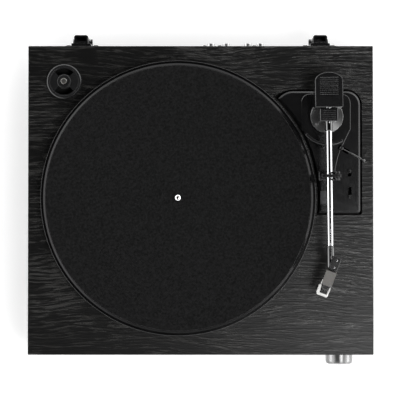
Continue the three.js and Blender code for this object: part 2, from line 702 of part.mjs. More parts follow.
function addTonearm(player) {
  const arm = place(player, PIVOT.x, PIVOT.y, DECK, PIVOT.restAngle);
  add(arm, "pivot_yoke", pivotYoke(), BLACK_MOULDING);
  add(arm, "tilt_axle", alongX(bar(1.5, -9.2, 9.2, 12)).translate(0, 0, TILT_AXIS), STEEL);
  add(arm, "pivot_block", pivotBlock(), BLACK_MOULDING);
  add(arm, "arm_tube", armTube(), CHROME);
  add(arm, "counterweight_housing", counterweightHousing(), BLACK_MOULDING);
  add(arm, "counterweight", counterweight(), STEEL);
  add(arm, "front_collar", frontCollar(), CHROME);
  const head = place(arm, HEAD.x, HEAD.y, 0, -HEAD.offsetAngle);
  add(head, "headshell_block", headshellBlock(), BLACK_MOULDING);
  add(head, "headshell", headshell(), GREY_METAL);
  add(head, "cartridge", cartridge(), BLACK_MOULDING);
  add(head, "stylus", stylus(), BLACK_MOULDING);
  add(head, "stylus_guard", stylusGuard(), WHITE_MOULDING);
  add(head, "finger_lift", fingerLift(), CHROME);
}

// ---- Volume knob ----

function volumeKnob() {
  const { radius, front } = KNOB;
  const back = -DEPTH / 2 - 0.8;
  const profile = [[0, front], [radius - 1.6, front], [radius, front + 1.6], [radius, back], [3, back],
    [3, -154], [0, -154]];
  return alongY(turned(profile, 36));
}

function potentiometer() {
  const inner = BOARD - DEPTH / 2;
  const profile = [[3.2, -169.6], [4.2, -169.6], [4.2, inner + GAP], [9, inner + GAP], [9, inner + 10],
    [0, inner + 10], [0, -153], [3.2, -153], [3.2, -169.6]];
  return alongY(turned(profile, 20));
}

function addVolumeKnob(player) {
  const shaft = place(player, KNOB.x, 0, KNOB.z);
  add(shaft, "volume_knob", volumeKnob(), SPUN_METAL);
  add(shaft, "potentiometer", potentiometer(), STEEL);
}

// ---- Lid hinges, drawn with x = 0 at the hinge's middle ----

function hingeBase() {
  const face = DEPTH / 2 + GAP;
  const { pinY, pinZ } = LID_HINGE;
  const spine = block([-10.85, 10.85], [face, face + 3.1], [34, 72]);
  const ears = block([-19, 19], [face, face + 1.5], [46, 62]);
  const lugs = [[-10.85, -8.2], [8.2, 10.85]].map(([x0, x1]) => {
    const arm = block([x0, x1], [face + 1, pinY], [pinZ - 4, pinZ + 4]);
    return join(arm, alongX(bar(4, x0, x1, 14)).translate(0, pinY, pinZ));
  });
  const pinHole = alongX(bar(1.75, -12, 12, 12)).translate(0, pinY, pinZ);
  return cut(join(spine, ears, ...lugs), pinHole);
}

function hingeSocket() {
  const { width, rear, socketTop, pinY, pinZ } = LID_HINGE;
  const half = width / 2;
  const front = DEPTH / 2 + 3.9;
  const corner = 2.5;
  const outline = new THREE.Shape();
  outline.moveTo(-half, front);
  outline.lineTo(half, front);
  outline.lineTo(half, rear - corner);
  outline.absarc(half - corner, rear - corner, corner, 0, Math.PI / 2);
  outline.absarc(corner - half, rear - corner, corner, Math.PI / 2, Math.PI);
  const box = prism(outline, pinZ, socketTop, 3);
  const knuckle = alongX(bar(3.2, -half, half, 16)).translate(0, pinY, pinZ);
  const slot = block([-5.4, 5.4], [front + 1.9, front + 6.4], [socketTop - 18, socketTop + 1]);
  const pinHole = alongX(bar(1.8, -12, 12, 12)).translate(0, pinY, pinZ);
  return cut(join(box, knuckle), slot, pinHole);
}

function addLidHinges(player) {
  for (const [side, sign] of [["left", -1], ["right", 1]]) {
    const hinge = place(player, sign * LID_HINGE.x, 0, 0);
    const pin = alongX(bar(1.5, -10.8, 10.8, 12)).translate(0, LID_HINGE.pinY, LID_HINGE.pinZ);
    add(hinge, `hinge_base_${side}`, hingeBase(), BLACK_MOULDING);
    add(hinge, `hinge_socket_${side}`, hingeSocket(), BLACK_MOULDING);
    add(hinge, `hinge_pin_${side}`, pin, STEEL);
  }
}

// ---- Rear sockets and electronics ----

function jackPlate() {
  const { left, right, bottom, top, front, rear } = JACK_PLATE;
  const plate = block([left, right], [front, rear], [bottom, top]);
  const through = [front - 1, rear + 1];
  const holes = Object.values(JACKS).map((x) => alongY(bar(4.4, ...through)).translate(x, 0, JACK_Z));
  const inletHole = block([-5.8, 5.8], through, [-6.3, 6.3]).translate(POWER_INLET_X, 0, JACK_Z);
  return cut(plate, ...holes, inletHole);
}

function phonoSocket() {
  const flange = JACK_PLATE.rear + GAP;
  const profile = [[0, 157], [4.1, 157], [4.1, flange], [5.8, flange], [5.8, flange + 0.9],
    [4.15, flange + 0.9], [4.15, 176.6], [3.8, 177], [3, 177], [3, 174], [1.7, 174], [1.7, 164], [0, 164]];
  return alongY(turned(profile, 14));
}

function powerInlet() {
  const y = [160, JACK_PLATE.rear - 0.2];
  const body = block([-5.4, 5.4], y, [-5.9, 5.9]);
  const well = alongY(bar(3.2, y[1] - 9, y[1] + 1));
  const contact = alongY(bar(1, y[0] + 1, y[1] - 1, 12));
  return join(cut(body, well), contact).translate(POWER_INLET_X, 0, JACK_Z);
}

function addRear(player) {
  add(player, "jack_plate", jackPlate(), BLACK_PAINT);
  for (const [name, x] of Object.entries(JACKS)) {
    add(place(player, x, 0, JACK_Z), `phono_socket_${name}`, phonoSocket(), SPUN_METAL);
  }
  add(player, "power_inlet", powerInlet(), BLACK_MOULDING);
  const circuitBoard = block([JACK_PLATE.left, JACK_PLATE.right], [100, 156], [30, 31.6]);
  add(player, "circuit_board", circuitBoard, CIRCUIT_GREEN);
}

// ---- The whole player ----

const player = new THREE.Group();
addPlinth(player);
addPlatter(player);
addAdapter(player);
addTonearmPlate(player);
addTonearm(player);
addVolumeKnob(player);
addLidHinges(player);
addRear(player);

export default player;
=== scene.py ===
import json
import math

import bmesh
import bpy
from mathutils import Matrix, Vector, noise


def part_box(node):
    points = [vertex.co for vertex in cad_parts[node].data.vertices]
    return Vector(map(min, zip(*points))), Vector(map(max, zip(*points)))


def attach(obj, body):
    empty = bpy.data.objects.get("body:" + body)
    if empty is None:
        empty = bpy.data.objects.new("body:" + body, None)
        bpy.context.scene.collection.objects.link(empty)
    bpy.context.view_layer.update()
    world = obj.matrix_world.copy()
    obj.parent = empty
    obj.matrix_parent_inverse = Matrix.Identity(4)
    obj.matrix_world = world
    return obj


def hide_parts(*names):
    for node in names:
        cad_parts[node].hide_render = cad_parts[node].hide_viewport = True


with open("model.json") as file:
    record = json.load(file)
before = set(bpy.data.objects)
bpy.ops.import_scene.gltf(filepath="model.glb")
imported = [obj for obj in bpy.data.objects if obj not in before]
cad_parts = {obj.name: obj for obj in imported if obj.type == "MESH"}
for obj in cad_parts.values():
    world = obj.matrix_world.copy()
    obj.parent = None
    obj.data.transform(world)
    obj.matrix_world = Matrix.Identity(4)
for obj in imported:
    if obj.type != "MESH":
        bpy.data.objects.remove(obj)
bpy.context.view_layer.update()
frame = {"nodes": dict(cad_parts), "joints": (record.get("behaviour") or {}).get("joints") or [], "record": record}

# Pieces are drawn in millimetres and scaled to metres when they are made.
MM = 0.001

# ---- Places and sizes from the frame ----


def span(node):
    """The lowest and highest corner of a CAD node, in millimetres."""
    low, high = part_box(node)
    return low / MM, high / MM


def joint(name):
    return next(j for j in frame["joints"] if j["name"] == name)


def hinge_point(name):
    return Vector(joint(name)["pos_m"]) / MM


DECK = span("top_board")[1].z
BOARD = DECK - span("top_board")[0].z
HALF_WIDTH, HALF_DEPTH = span("top_board")[1][:2]
CASE_BOTTOM = span("front_board")[0].z - DECK

PLATTER = hinge_point("platter_spin")
PLATTER_RADIUS = span("platter")[1].x - PLATTER.x
PLATTER_LOW, PLATTER_TOP = (corner.z - DECK for corner in span("platter"))
MAT_RADIUS = span("slipmat")[1].x - PLATTER.x
MAT_TOP = span("slipmat")[1].z - DECK
PULLEY = hinge_point("pulley_spin")
ADAPTER = (span("adapter_45")[0] + span("adapter_45")[1]) / 2
PIVOT = hinge_point("arm_swing")
REST_PIN = hinge_point("clip_turn")
LEVER = hinge_point("cue_lever_turn")
KNOB = hinge_point("knob_turn")
PLATE_LOW, PLATE_HIGH = span("tonearm_plate")

# The tonearm is drawn with its pivot at the origin and its tube along -Y, and the headshell with
# its front towards -Y. Heights are over the deck.
TILT_AXIS = Vector(joint("arm_tilt")["axis"])
GUARD_AXIS = Vector(joint("guard_slide")["axis"])
REST_ANGLE = math.atan2(-TILT_AXIS.y, -TILT_AXIS.x)
HEAD_ANGLE = math.atan2(GUARD_AXIS.x, -GUARD_AXIS.y)
HEAD_X, HEAD_Y = 4.1, -160
TILT_HEIGHT = hinge_point("arm_tilt").z - DECK
TUBE_HEIGHT = 35

ON_DECK = Matrix.Translation((0, 0, DECK))
ARM = Matrix.Translation((PIVOT.x, PIVOT.y, DECK)) @ Matrix.Rotation(REST_ANGLE, 4, "Z")
HEAD = (ARM @ Matrix.Translation((HEAD_X, HEAD_Y, 0))
        @ Matrix.Rotation(HEAD_ANGLE - REST_ANGLE, 4, "Z"))


def at(x, y, z=0.0, turn=0.0):
    """A place over the deck, turned about Z by some degrees."""
    return ON_DECK @ Matrix.Translation((x, y, z)) @ Matrix.Rotation(math.radians(turn), 4, "Z")


def linked(name, data):
    """A new object in the scene."""
    obj = bpy.data.objects.new(name, data)
    bpy.context.scene.collection.objects.link(obj)
    return obj


# ---- Outlines ----

def arc(x, y, radius, start, end, steps, squeeze=1.0):
    """Points of an arc between two angles in degrees; squeeze flattens it along Y."""
    angles = [math.radians(start + (end - start) * k / steps) for k in range(steps + 1)]
    return [(x + radius * math.cos(a), y + radius * squeeze * math.sin(a)) for a in angles]


def curve(start, pull, end, steps=6):
    """Points of a quadratic curve from start to end, pulled towards a third point."""
    start, pull, end = Vector(start), Vector(pull), Vector(end)
    shares = [k / steps for k in range(steps + 1)]
    return [tuple(start * (1 - t) ** 2 + pull * 2 * t * (1 - t) + end * t * t) for t in shares]


def fillet(corners, steps, loop=True):
    """Corners (x, y), with an arc in place of each corner that is given as (x, y, radius)."""
    points = []
    for i, (x, y, *radius) in enumerate(corners):
        here = Vector((x, y))
        if not radius or (not loop and i in (0, len(corners) - 1)):
            points.append(tuple(here))
            continue
        before = Vector(corners[i - 1][:2]) - here
        after = Vector(corners[(i + 1) % len(corners)][:2]) - here
        half = before.angle(after) / 2
        reach = radius[0] / math.tan(half)
        start = here + before.normalized() * reach
        end = here + after.normalized() * reach
        for k in range(steps + 1):
            t = k / steps
            first, middle, last = (1 - t) ** 2, 2 * t * (1 - t) * math.sin(half), t * t
            total = first + middle + last
            points.append(tuple((start * first + here * middle + end * last) / total))
    return points


def rectangle(x, y, radius):
    corners = [(x[0], y[0]), (x[1], y[0]), (x[1], y[1]), (x[0], y[1])]
    return fillet([(*corner, radius) for corner in corners], 4)


def inset(points, distance):
    """An outline drawn anticlockwise, moved inwards."""
    shrunk = []
    for i, point in enumerate(points):
        here = Vector(point)
        before = (here - Vector(points[i - 1])).normalized()
        after = (Vector(points[(i + 1) % len(points)]) - here).normalized()
        inwards = Vector((-before.y - after.y, before.x + after.x))
        length = inwards.length
        inwards.normalize()
        shrunk.append(tuple(here + inwards * distance * 2 / max(length, 0.8)))
    return shrunk


# ---- Solids ----

SAME_POINT = 1e-4


def solid(rings, loop=False):
    """A closed mesh through rings of equally many points, with a face on each end."""
    count = len(rings[0])
    shape = bmesh.new()
    corners = [[shape.verts.new(point) for point in ring] for ring in rings]
    following = corners[1:] + corners[:1] if loop else corners[1:]
    for low, high in zip(corners, following):
        for i in range(count):
            k = (i + 1) % count
            shape.faces.new((low[i], low[k], high[k], high[i]))
    if not loop:
        shape.faces.new(list(reversed(corners[0])))
        shape.faces.new(corners[-1])
    bmesh.ops.remove_doubles(shape, verts=shape.verts, dist=SAME_POINT)
    bmesh.ops.dissolve_degenerate(shape, edges=shape.edges, dist=SAME_POINT)
    bmesh.ops.recalc_face_normals(shape, faces=shape.faces)
    mesh = bpy.data.meshes.new("solid")
    shape.to_mesh(mesh)
    shape.free()
    return mesh


def layered(outline, layers):
    """An outline stacked in layers (inset, height)."""
    return solid([[(*point, z) for point in inset(outline, shrink)] for shrink, z in layers])


def slab(outline, low, high, edge, foot=0.0, steps=3):
    """An outline with thickness, its upper edge rounded by edge and its lower edge by foot."""
    quarter = [math.pi / 2 * k / steps for k in range(steps + 1)]
    lower = [(foot * (1 - math.sin(a)), low + foot * (1 - math.cos(a))) for a in quarter]
    upper = [(edge * (1 - math.cos(a)), high - edge * (1 - math.sin(a))) for a in quarter]
    return layered(outline, (lower if foot else [(0, low)]) + (upper if edge else [(0, high)]))


def bevelled(outline, low, high, width, drop):
    """An outline with thickness and a flat bevel round its top, drop high and width wide."""
    soft = width * 0.12
    return layered(outline, [(0, low), (0, high - drop - soft), (soft / 2, high - drop),
                             (width - soft / 2, high - soft / 3), (width + soft / 2, high)])


def block(x, y, z, edge=0.3):
    """A box; its upright edges are rounded a little more, so that its layers stay apart."""
    return slab(rectangle(x, y, edge * 1.04 + 0.02), *z, edge, edge)


def lathe(profile, steps, loop=False):
    """A profile (radius, height) turned about Z; it starts and ends on the axis, or is a loop."""
    angles = [2 * math.pi * k / steps for k in range(steps)]
    rings = [[(r * math.cos(a), r * math.sin(a), z) for a in angles] for r, z in profile]
    return solid(rings, loop)


def turning(corners, rounding, steps, loop=False):
    """A lathed solid, with each corner (radius, height, rounding radius) rounded in some steps."""
    return lathe(fillet(corners, rounding, loop), steps, loop)


def bar(radius, low, high, edge=0.0):
    return turning([(0, low), (radius, low, edge), (radius, high, edge), (0, high)], 3, 48)


def wire(points, radius, sides=20, ball=0.0):
    """Round wire through the points, with round ends; ball is the radius of a ball at the tip."""
    smooth = 6
    path = []
    ends = [points[0]] + list(points) + [points[-1]]
    for a, b, c, d in zip(ends, ends[1:], ends[2:], ends[3:]):
        a, b, c, d = (Vector(p) for p in (a, b, c, d))
        for k in range(smooth):
            t = k / smooth
            bend = (2 * a - 5 * b + 4 * c - d) * t * t + (3 * b - a - 3 * c + d) * t ** 3
            path.append((2 * b + (c - a) * t + bend) / 2)
    path.append(Vector(points[-1]))
    sections = [(p, radius) for p in path]
    for end, inward, reverse in ((0, 1, True), (-1, -2, False)):
        out = (path[end] - path[inward]).normalized()
        size = ball if ball and not reverse else radius
        steps = [math.pi / 2 * k / 5 for k in range(-4 if size > radius else 1, 6)]
        cap = [(path[end] + out * size * math.sin(a), max(size * math.cos(a), 1e-3)) for a in steps]
        sections = list(reversed(cap)) + sections if reverse else sections + cap
    rings = []
    side = None
    for i, (centre, size) in enumerate(sections):
        ahead = sections[min(i + 1, len(sections) - 1)][0] - sections[max(i - 1, 0)][0]
        ahead.normalize()
        side = ahead.orthogonal() if side is None else side - ahead * side.dot(ahead)
        side.normalize()
        other = ahead.cross(side)
        angles = [2 * math.pi * k / sides for k in range(sides)]
        rings.append([centre + (side * math.cos(a) + other * math.sin(a)) * size for a in angles])
    return solid(rings)


def moved(mesh, x, y, z=0.0):
    mesh.transform(Matrix.Translation((x, y, z)))
    return mesh


def turned(mesh, degrees, axis="Z"):
    mesh.transform(Matrix.Rotation(math.radians(degrees), 4, axis))
    return mesh


def along_x(mesh):
    """Lays what was drawn along Z along X."""
    return turned(mesh, 90, "Y")


def along_y(mesh):
    """Lays what was drawn along Z along Y."""
    return turned(mesh, -90, "X")


def rod_x(radius, low, high, y, z, edge=0.0):
    """A bar along X, with its axis at a place in Y and Z."""
    return moved(along_x(bar(radius, low, high, edge)), 0, y, z)


def rod_y(radius, low, high, x, z, edge=0.0):
    """A bar along Y, with its axis at a place in X and Z."""
    return moved(along_y(bar(radius, low, high, edge)), x, 0, z)


def from_side(outline, x0, x1, edge):
    """An outline drawn in Y and Z, carried along X."""
    mesh = slab(outline, x0, x1, edge, edge)
    mesh.transform(Matrix(((0, 0, 1, 0), (1, 0, 0, 0), (0, 1, 0, 0), (0, 0, 0, 1))))
    return mesh


def from_front(outline, y0, y1, edge):
    """An outline drawn in X and Z, carried along Y."""
    return turned(slab(outline, -y1, -y0, edge, edge), 90, "X")


def split_faces(mesh):
    """Splits each flat face into triangles, so that no cut leaves a face with a hole in it."""
    shape = bmesh.new()
    shape.from_mesh(mesh)
    bmesh.ops.triangulate(shape, faces=shape.faces)
    shape.to_mesh(mesh)
    shape.free()


def combined(operation, mesh, others):
    """The union or difference of a mesh and others."""
    for other in others:
        split_faces(mesh)
        split_faces(other)
        pair = [linked("work", m) for m in (mesh, other)]
        modifier = pair[0].modifiers.new("work", "BOOLEAN")
        modifier.operation = operation
        modifier.solver = "MANIFOLD"
        modifier.object = pair[1]
        graph = bpy.context.evaluated_depsgraph_get()
        mesh = bpy.data.meshes.new_from_object(pair[0].evaluated_get(graph))
        for obj in pair:
            bpy.data.objects.remove(obj)
    return mesh


def join(mesh, *others):
    return combined("UNION", mesh, others)


def cut(mesh, *others):
    return combined("DIFFERENCE", mesh, others)


def gathered(meshes):
    """Separate solids as one mesh."""
    shape = bmesh.new()
    for mesh in meshes:
        shape.from_mesh(mesh)
    whole = bpy.data.meshes.new("solid")
    shape.to_mesh(whole)
    shape.free()
    return whole


# ---- Materials ----

class Graph:
    """A node tree, with short ways to add to it."""

    def __init__(self, tree):
        self.tree = tree

    def node(self, kind, inputs=None, **settings):
        made = self.tree.nodes.new("ShaderNode" + kind)
        for key, value in settings.items():
            setattr(made, key, value)
        for key, value in (inputs or {}).items():
            if isinstance(value, bpy.types.NodeSocket):
                self.tree.links.new(value, made.inputs[key])
            else:
                made.inputs[key].default_value = value
        return made

    def math(self, operation, *values):
        return self.node("Math", dict(enumerate(values)), operation=operation).outputs[0]

    def add(self, *values):
        return self.math("ADD", *values)

    def times(self, *values):
        return self.math("MULTIPLY", *values)

    def spread(self, value, low, high, from_low, from_high, **settings):
        """Maps a value from its own range to the range from low to high."""
        inputs = {"Value": value, "From Min": from_low, "From Max": from_high,
                  "To Min": low, "To Max": high}
        return self.node("MapRange", inputs, **settings).outputs[0]


class Look(Graph):
    """A material and its node tree."""

    def __init__(self, name, **constants):
        self.material = bpy.data.materials.new(name)
        self.material.use_nodes = True
        super().__init__(self.material.node_tree)
        self.surface = self.tree.nodes["Principled BSDF"]
        for socket, value in constants.items():
            self.surface.inputs[socket.replace("_", " ")].default_value = value
        self.place = self.node("TexCoord").outputs["Object"]

    def feed(self, socket, value):
        self.tree.links.new(value, self.surface.inputs[socket])

    def noise(self, size, detail=3.0, roughness=0.55, distortion=0.0, place=None):
        """Noise whose blotches are about size metres across."""
        inputs = {"Vector": place or self.place, "Scale": 1 / size, "Detail": detail,
                  "Roughness": roughness, "Distortion": distortion}
        return self.node("TexNoise", inputs).outputs["Fac"]

    def ramp(self, value, *stops):
        """Maps a value through stops (position, grey or colour)."""
        ramp = self.node("ValToRGB", {"Fac": value})
        elements = ramp.color_ramp.elements
        while len(elements) < len(stops):
            elements.new(0.5)
        for element, (position, tone) in zip(elements, stops):
            element.position = position
            element.color = (*tone, 1) if hasattr(tone, "__len__") else (tone, tone, tone, 1)
        return ramp.outputs[0]

    def mix(self, share, first, second, blend="MIX"):
        mixer = self.node("Mix", {"Factor": share}, data_type="RGBA", blend_type=blend)
        for index, value in ((6, first), (7, second)):
            if isinstance(value, bpy.types.NodeSocket):
                self.tree.links.new(value, mixer.inputs[index])
            else:
                mixer.inputs[index].default_value = (*value, 1)
        return mixer.outputs[2]

    def bump(self, height, distance, strength=1.0):
        """Relief of some depth in metres."""
        inputs = {"Height": height, "Distance": distance, "Strength": strength}
        if self.surface.inputs["Normal"].is_linked:
            inputs["Normal"] = self.surface.inputs["Normal"].links[0].from_socket
        self.feed("Normal", self.node("Bump", inputs).outputs[0])


def ash_veneer(name, along_y=False):
    """Black-stained ash: plain-sawn figure with its grain along X, or along Y."""
    look = Look(name, Specular_IOR_Level=0.4)
    turn = (0, 0, math.radians(90) if along_y else 0)
    leaf = 0.118  # The width of one leaf of veneer; the next one is its mirror image.

    def stretched(share):
        """Places in the veneer, with what follows drawn out along the grain."""
        inputs = {"Vector": look.place, "Scale": (share, 1, 1), "Rotation": turn}
        return look.node("Mapping", inputs).outputs[0]

    def long_noise(size, share):
        return look.noise(size, 2, place=stretched(share))

    x, y, z = look.node("SeparateXYZ", {"Vector": stretched(1)}).outputs
    # Growth rings are long cones in the log, and each leaf of veneer is a flat cut through them.
    sway = look.spread(long_noise(0.11, 0.45), -0.013, 0.013, 0.25, 0.75)
    across = look.add(look.add(y, z), sway)
    across = look.math("PINGPONG", look.add(across, leaf), leaf)
    along = look.times(look.add(x, 0.30), 0.07)
    rings = look.math("SQRT", look.add(look.times(across, across), look.times(along, along)))
    rings = look.add(rings, look.spread(long_noise(0.012, 0.16), -0.001, 0.001, 0.25, 0.75))

    def grain(size, share, low, high):
        """Streaks that follow the rings, size across and drawn out along them."""
        follow = look.node("CombineXYZ", {0: look.times(x, share), 1: rings}).outputs[0]
        return look.spread(look.noise(size, 2, 0.6, place=follow), 0, 1, low, high)

    bands = grain(0.006, 0.05, 0.41, 0.6)
    streaks = grain(0.0019, 0.055, 0.43, 0.57)
    pores = look.spread(long_noise(0.0011, 0.12), 0.5, 1, 0.36, 0.6)
    lively = look.spread(long_noise(0.05, 0.5), 0.6, 1, 0.42, 0.62)
    figure = look.add(look.times(bands, 0.35), look.times(streaks, 0.65))
    figure = look.times(look.times(figure, pores), lively)
    colour = look.ramp(figure, (0.06, (0.0006, 0.0006, 0.0006)), (0.3, (0.005, 0.0049, 0.0047)),
                       (0.7, (0.042, 0.0412, 0.0397)))
    look.feed("Base Color", colour)
    look.feed("Roughness", look.spread(figure, 0.36, 0.22, 0.05, 0.6))
    look.bump(figure, 0.00028, 0.8)
    look.bump(long_noise(0.0007, 0.1), 0.00002, 0.5)
    return look.material


def felt(name):
    look = Look(name, Specular_IOR_Level=0.05, Sheen_Weight=0.12, Sheen_Roughness=0.4)
    fibres = look.noise(0.0006, 4, 0.7, 0.6)
    tufts = look.noise(0.0024, 3, 0.65, 0.5)
    tone = look.add(look.times(fibres, 0.3), look.times(tufts, 0.7))
    look.feed("Base Color", look.ramp(tone, (0.38, (0.0036, 0.0036, 0.0037)),
                                        (0.62, (0.0135, 0.0135, 0.0137))))
    look.feed("Roughness", look.spread(tufts, 0.82, 0.98, 0.3, 0.7))
    look.bump(tufts, 0.0004, 0.55)
    look.bump(fibres, 0.00025, 0.8)
    return look.material


def mottled(name, dark, light, size, gloss, grain, depth, **constants):
    """A material with slow colour changes, uneven gloss and a fine relief."""
    look = Look(name, **constants)
    look.feed("Base Color", look.mix(look.noise(size), dark, light))
    look.feed("Roughness", look.spread(look.noise(size * 0.4), *gloss, 0.3, 0.7))
    look.bump(look.noise(grain, 2), depth)
    return look.material


def moulding(name, dark=0.005, light=0.0065, gloss=(0.19, 0.23)):
    """Black plastic with the fine spark-eroded texture of its mould."""
    return mottled(name, (dark, dark, dark * 1.06), (light, light, light * 1.06), 0.02, gloss,
                   0.00035, 0.000012, Specular_IOR_Level=0.5)


def spun_metal(name, centre, axis, tone, gloss):
    """Aluminium turned on a lathe, with rings of tool marks and the fan of light they give."""
    look = Look(name, Metallic=1.0, Anisotropic=0.7, Anisotropic_Rotation=0.25)
    look.feed("Tangent", look.node("Tangent", direction_type="RADIAL", axis=axis).outputs[0])
    offset = look.node("VectorMath", {0: look.place, 1: centre * MM}, operation="SUBTRACT")
    across = (1, 1, 0) if axis == "Z" else (1, 0, 1)
    flat = look.node("VectorMath", {0: offset.outputs[0], 1: across}, operation="MULTIPLY")
    radius = look.node("VectorMath", {0: flat.outputs[0]}, operation="LENGTH").outputs["Value"]
    marks = look.node("TexNoise", {"W": radius, "Scale": 3500, "Detail": 3}, noise_dimensions="1D")
    marks = marks.outputs["Fac"]
    look.feed("Base Color", look.mix(marks, (tone * 0.85,) * 3, (tone,) * 3))
    look.feed("Roughness", look.spread(marks, *gloss, 0.3, 0.7))
    look.bump(marks, 0.0000004)
    return look.material


def metal(name, tone, warm=1.0, gloss=(0.25, 0.4)):
    light = Vector((tone, tone * warm, tone * warm ** 3))
    return mottled(name, tuple(light * 0.85), tuple(light), 0.008, gloss, 0.0002, 0.000006,
                   Metallic=1.0)


def grey_metallic(name):
    """Grey lacquer with fine metal flakes in it."""
    look = Look(name, Metallic=0.85, Coat_Weight=0.3, Coat_Roughness=0.25)
    flakes = look.node("TexVoronoi", {"Vector": look.place, "Scale": 2600}).outputs["Color"]
    base = look.mix(look.noise(0.006), (0.105, 0.1, 0.095), (0.15, 0.145, 0.138))
    look.feed("Base Color", look.mix(0.12, base, flakes, "OVERLAY"))
    look.feed("Roughness", look.spread(look.noise(0.002), 0.34, 0.48, 0.3, 0.7))
    look.bump(look.noise(0.0004, 2), 0.000012)
    return look.material


def circuit_board(name):
    """Green solder mask over a net of copper tracks."""
    look = Look(name, Coat_Weight=0.4, Coat_Roughness=0.2)
    cells = look.node("TexVoronoi", {"Vector": look.place, "Scale": 220}, distance="MANHATTAN")
    tracks = look.ramp(cells.outputs["Distance"], (0.30, 0.0), (0.34, 1.0))
    look.feed("Base Color", look.mix(tracks, (0.010, 0.055, 0.022), (0.03, 0.12, 0.045)))
    look.feed("Roughness", look.spread(look.noise(0.003), 0.35, 0.5, 0.3, 0.7))
    look.bump(tracks, 0.00003)
    return look.material


LOOKS = {
    "ash_veneer": ash_veneer("black_ash"),
    "black_moulding": moulding("black_moulding"),
    "black_paint": mottled("satin_black_paint", (0.002, 0.002, 0.0021), (0.003, 0.003, 0.0031),
                           0.05, (0.14, 0.2), 0.0009, 0.000006),
    "felt": felt("black_felt"),
    "chrome": mottled("polished_chrome", (0.78, 0.78, 0.79), (0.86, 0.86, 0.87), 0.03,
                      (0.05, 0.13), 0.0004, 0.000003, Metallic=1.0),
    "spun_aluminium": metal("turned_aluminium", 0.62),
    "steel": metal("plain_steel", 0.46),
    "brass": metal("turned_brass", 0.58, 0.82),
    "grey_metal": grey_metallic("grey_metallic_lacquer"),
    "white_moulding": mottled("milky_moulding", (0.72, 0.715, 0.70), (0.80, 0.795, 0.785), 0.006,
                              (0.3, 0.42), 0.0005, 0.00001, Subsurface_Weight=0.25,
                              Subsurface_Radius=(0.002, 0.002, 0.002), IOR=1.49),
    "rubber": mottled("black_rubber", (0.007, 0.007, 0.007), (0.013, 0.0125, 0.012), 0.012,
                      (0.62, 0.8), 0.0003, 0.00004, Specular_IOR_Level=0.3),
    "circuit_board": circuit_board("green_solder_mask"),
}
SMOOTH_BLACK = moulding("smooth_black_moulding", 0.042, 0.05, (0.26, 0.3))
SATIN_BLACK = moulding("satin_black_moulding", 0.007, 0.009, (0.3, 0.36))
DARK_CHROME = metal("dark_chrome", 0.14, gloss=(0.07, 0.12))
ASH_ALONG_Y = ash_veneer("black_ash_side", along_y=True)
DISC_METAL = spun_metal("spun_disc_metal", PIVOT, "Z", 0.36, (0.27, 0.32))
KNOB_METAL = spun_metal("spun_knob_metal", KNOB, "Y", 0.4, (0.36, 0.44))
WIRE_METAL = metal("dull_wire_metal", 0.16)


# ---- Making pieces ----

BLACK = "black_moulding"
# Faces that meet at a smaller angle than this are shaded as one curved face.
SHARP_ANGLE = math.radians(30)
UNMOVED = Matrix()


def piece(name, mesh, slot, body="root", place=ON_DECK, replaces=(), material=None):
    """Places a mesh drawn in millimetres, gives it its material and ties it to its body."""
    mesh.transform(Matrix.Scale(MM, 4) @ place)
    mesh.materials.clear()
    mesh.materials.append(material or LOOKS[slot])
    mesh.shade_smooth()
    mesh.set_sharp_from_angle(angle=SHARP_ANGLE)
    obj = linked(name, mesh)
    weighted = obj.modifiers.new("even_shading", "WEIGHTED_NORMAL")
    weighted.keep_sharp = True
    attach(obj, body)
    if replaces:
        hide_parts(*replaces)
    return obj


def screw(radius, head):
    """A pan-head screw, its head standing on z = 0, with a cross recess."""
    shank = radius * 0.45
    profile = [(0, -4), (shank, -4), (shank, 0), (radius, 0), (radius, head * 0.35),
               (radius * 0.8, head * 0.85), (radius * 0.4, head), (0, head)]
    wing, thickness = radius * 0.55, radius * 0.13
    wide, thin, depth = (-wing, wing), (-thickness, thickness), (head * 0.35, head + 1)
    return cut(lathe(profile, 32), block(wide, thin, depth, 0.05), block(thin, wide, depth, 0.05))


def screws(size, turn, places):
    """Screws with one radius and head height, turned about X by some degrees, as one mesh."""
    return gathered([moved(turned(screw(*size), turn, "X"), *place) for place in places])


# ---- Plinth ----

PLATTER_GAP = 5.3
GROOVE = 2.2
FOOT_RADIUS, FOOT_INSET, FOOT_SINK = 18, 34, 3.2
# The plinth's materials, in the order in which it gets them.
GRAIN_ALONG_X, GRAIN_ALONG_Y, CUT_EDGE = range(3)


def beside_platter(distance, y):
    """Where a circle round the platter's centre crosses a height Y, on the right."""
    return PLATTER.x + math.sqrt(distance ** 2 - (y - PLATTER.y) ** 2)


def round_platter(radius, start, end, steps):
    """An arc round the platter's centre, on the right, between two heights Y."""
    angles = [math.degrees(math.asin((y - PLATTER.y) / radius)) for y in (start, end)]
    return arc(PLATTER.x, PLATTER.y, radius, *angles, steps)


def plate_outline(margin=0.0):
    """The tonearm plate's outline, grown by a margin; its left edge follows the platter."""
    near = PLATTER_RADIUS + PLATTER_GAP - margin
    front, rear = PLATE_LOW.y - margin, PLATE_HIGH.y + margin
    right = PLATE_HIGH.x + margin
    top = rear - 8
    corner = 15 + margin
    bend = PLATE_LOW.x + 7
    outline = arc(right - 3, front + 3, 3, -90, 0, 6)
    outline += arc(right - corner, rear - corner, corner, 0, 90, 12)
    outline += curve((bend + 8, rear), (bend, rear - 0.5), (beside_platter(near, top), top))
    return outline + round_platter(near, top, front, 40)[1:]


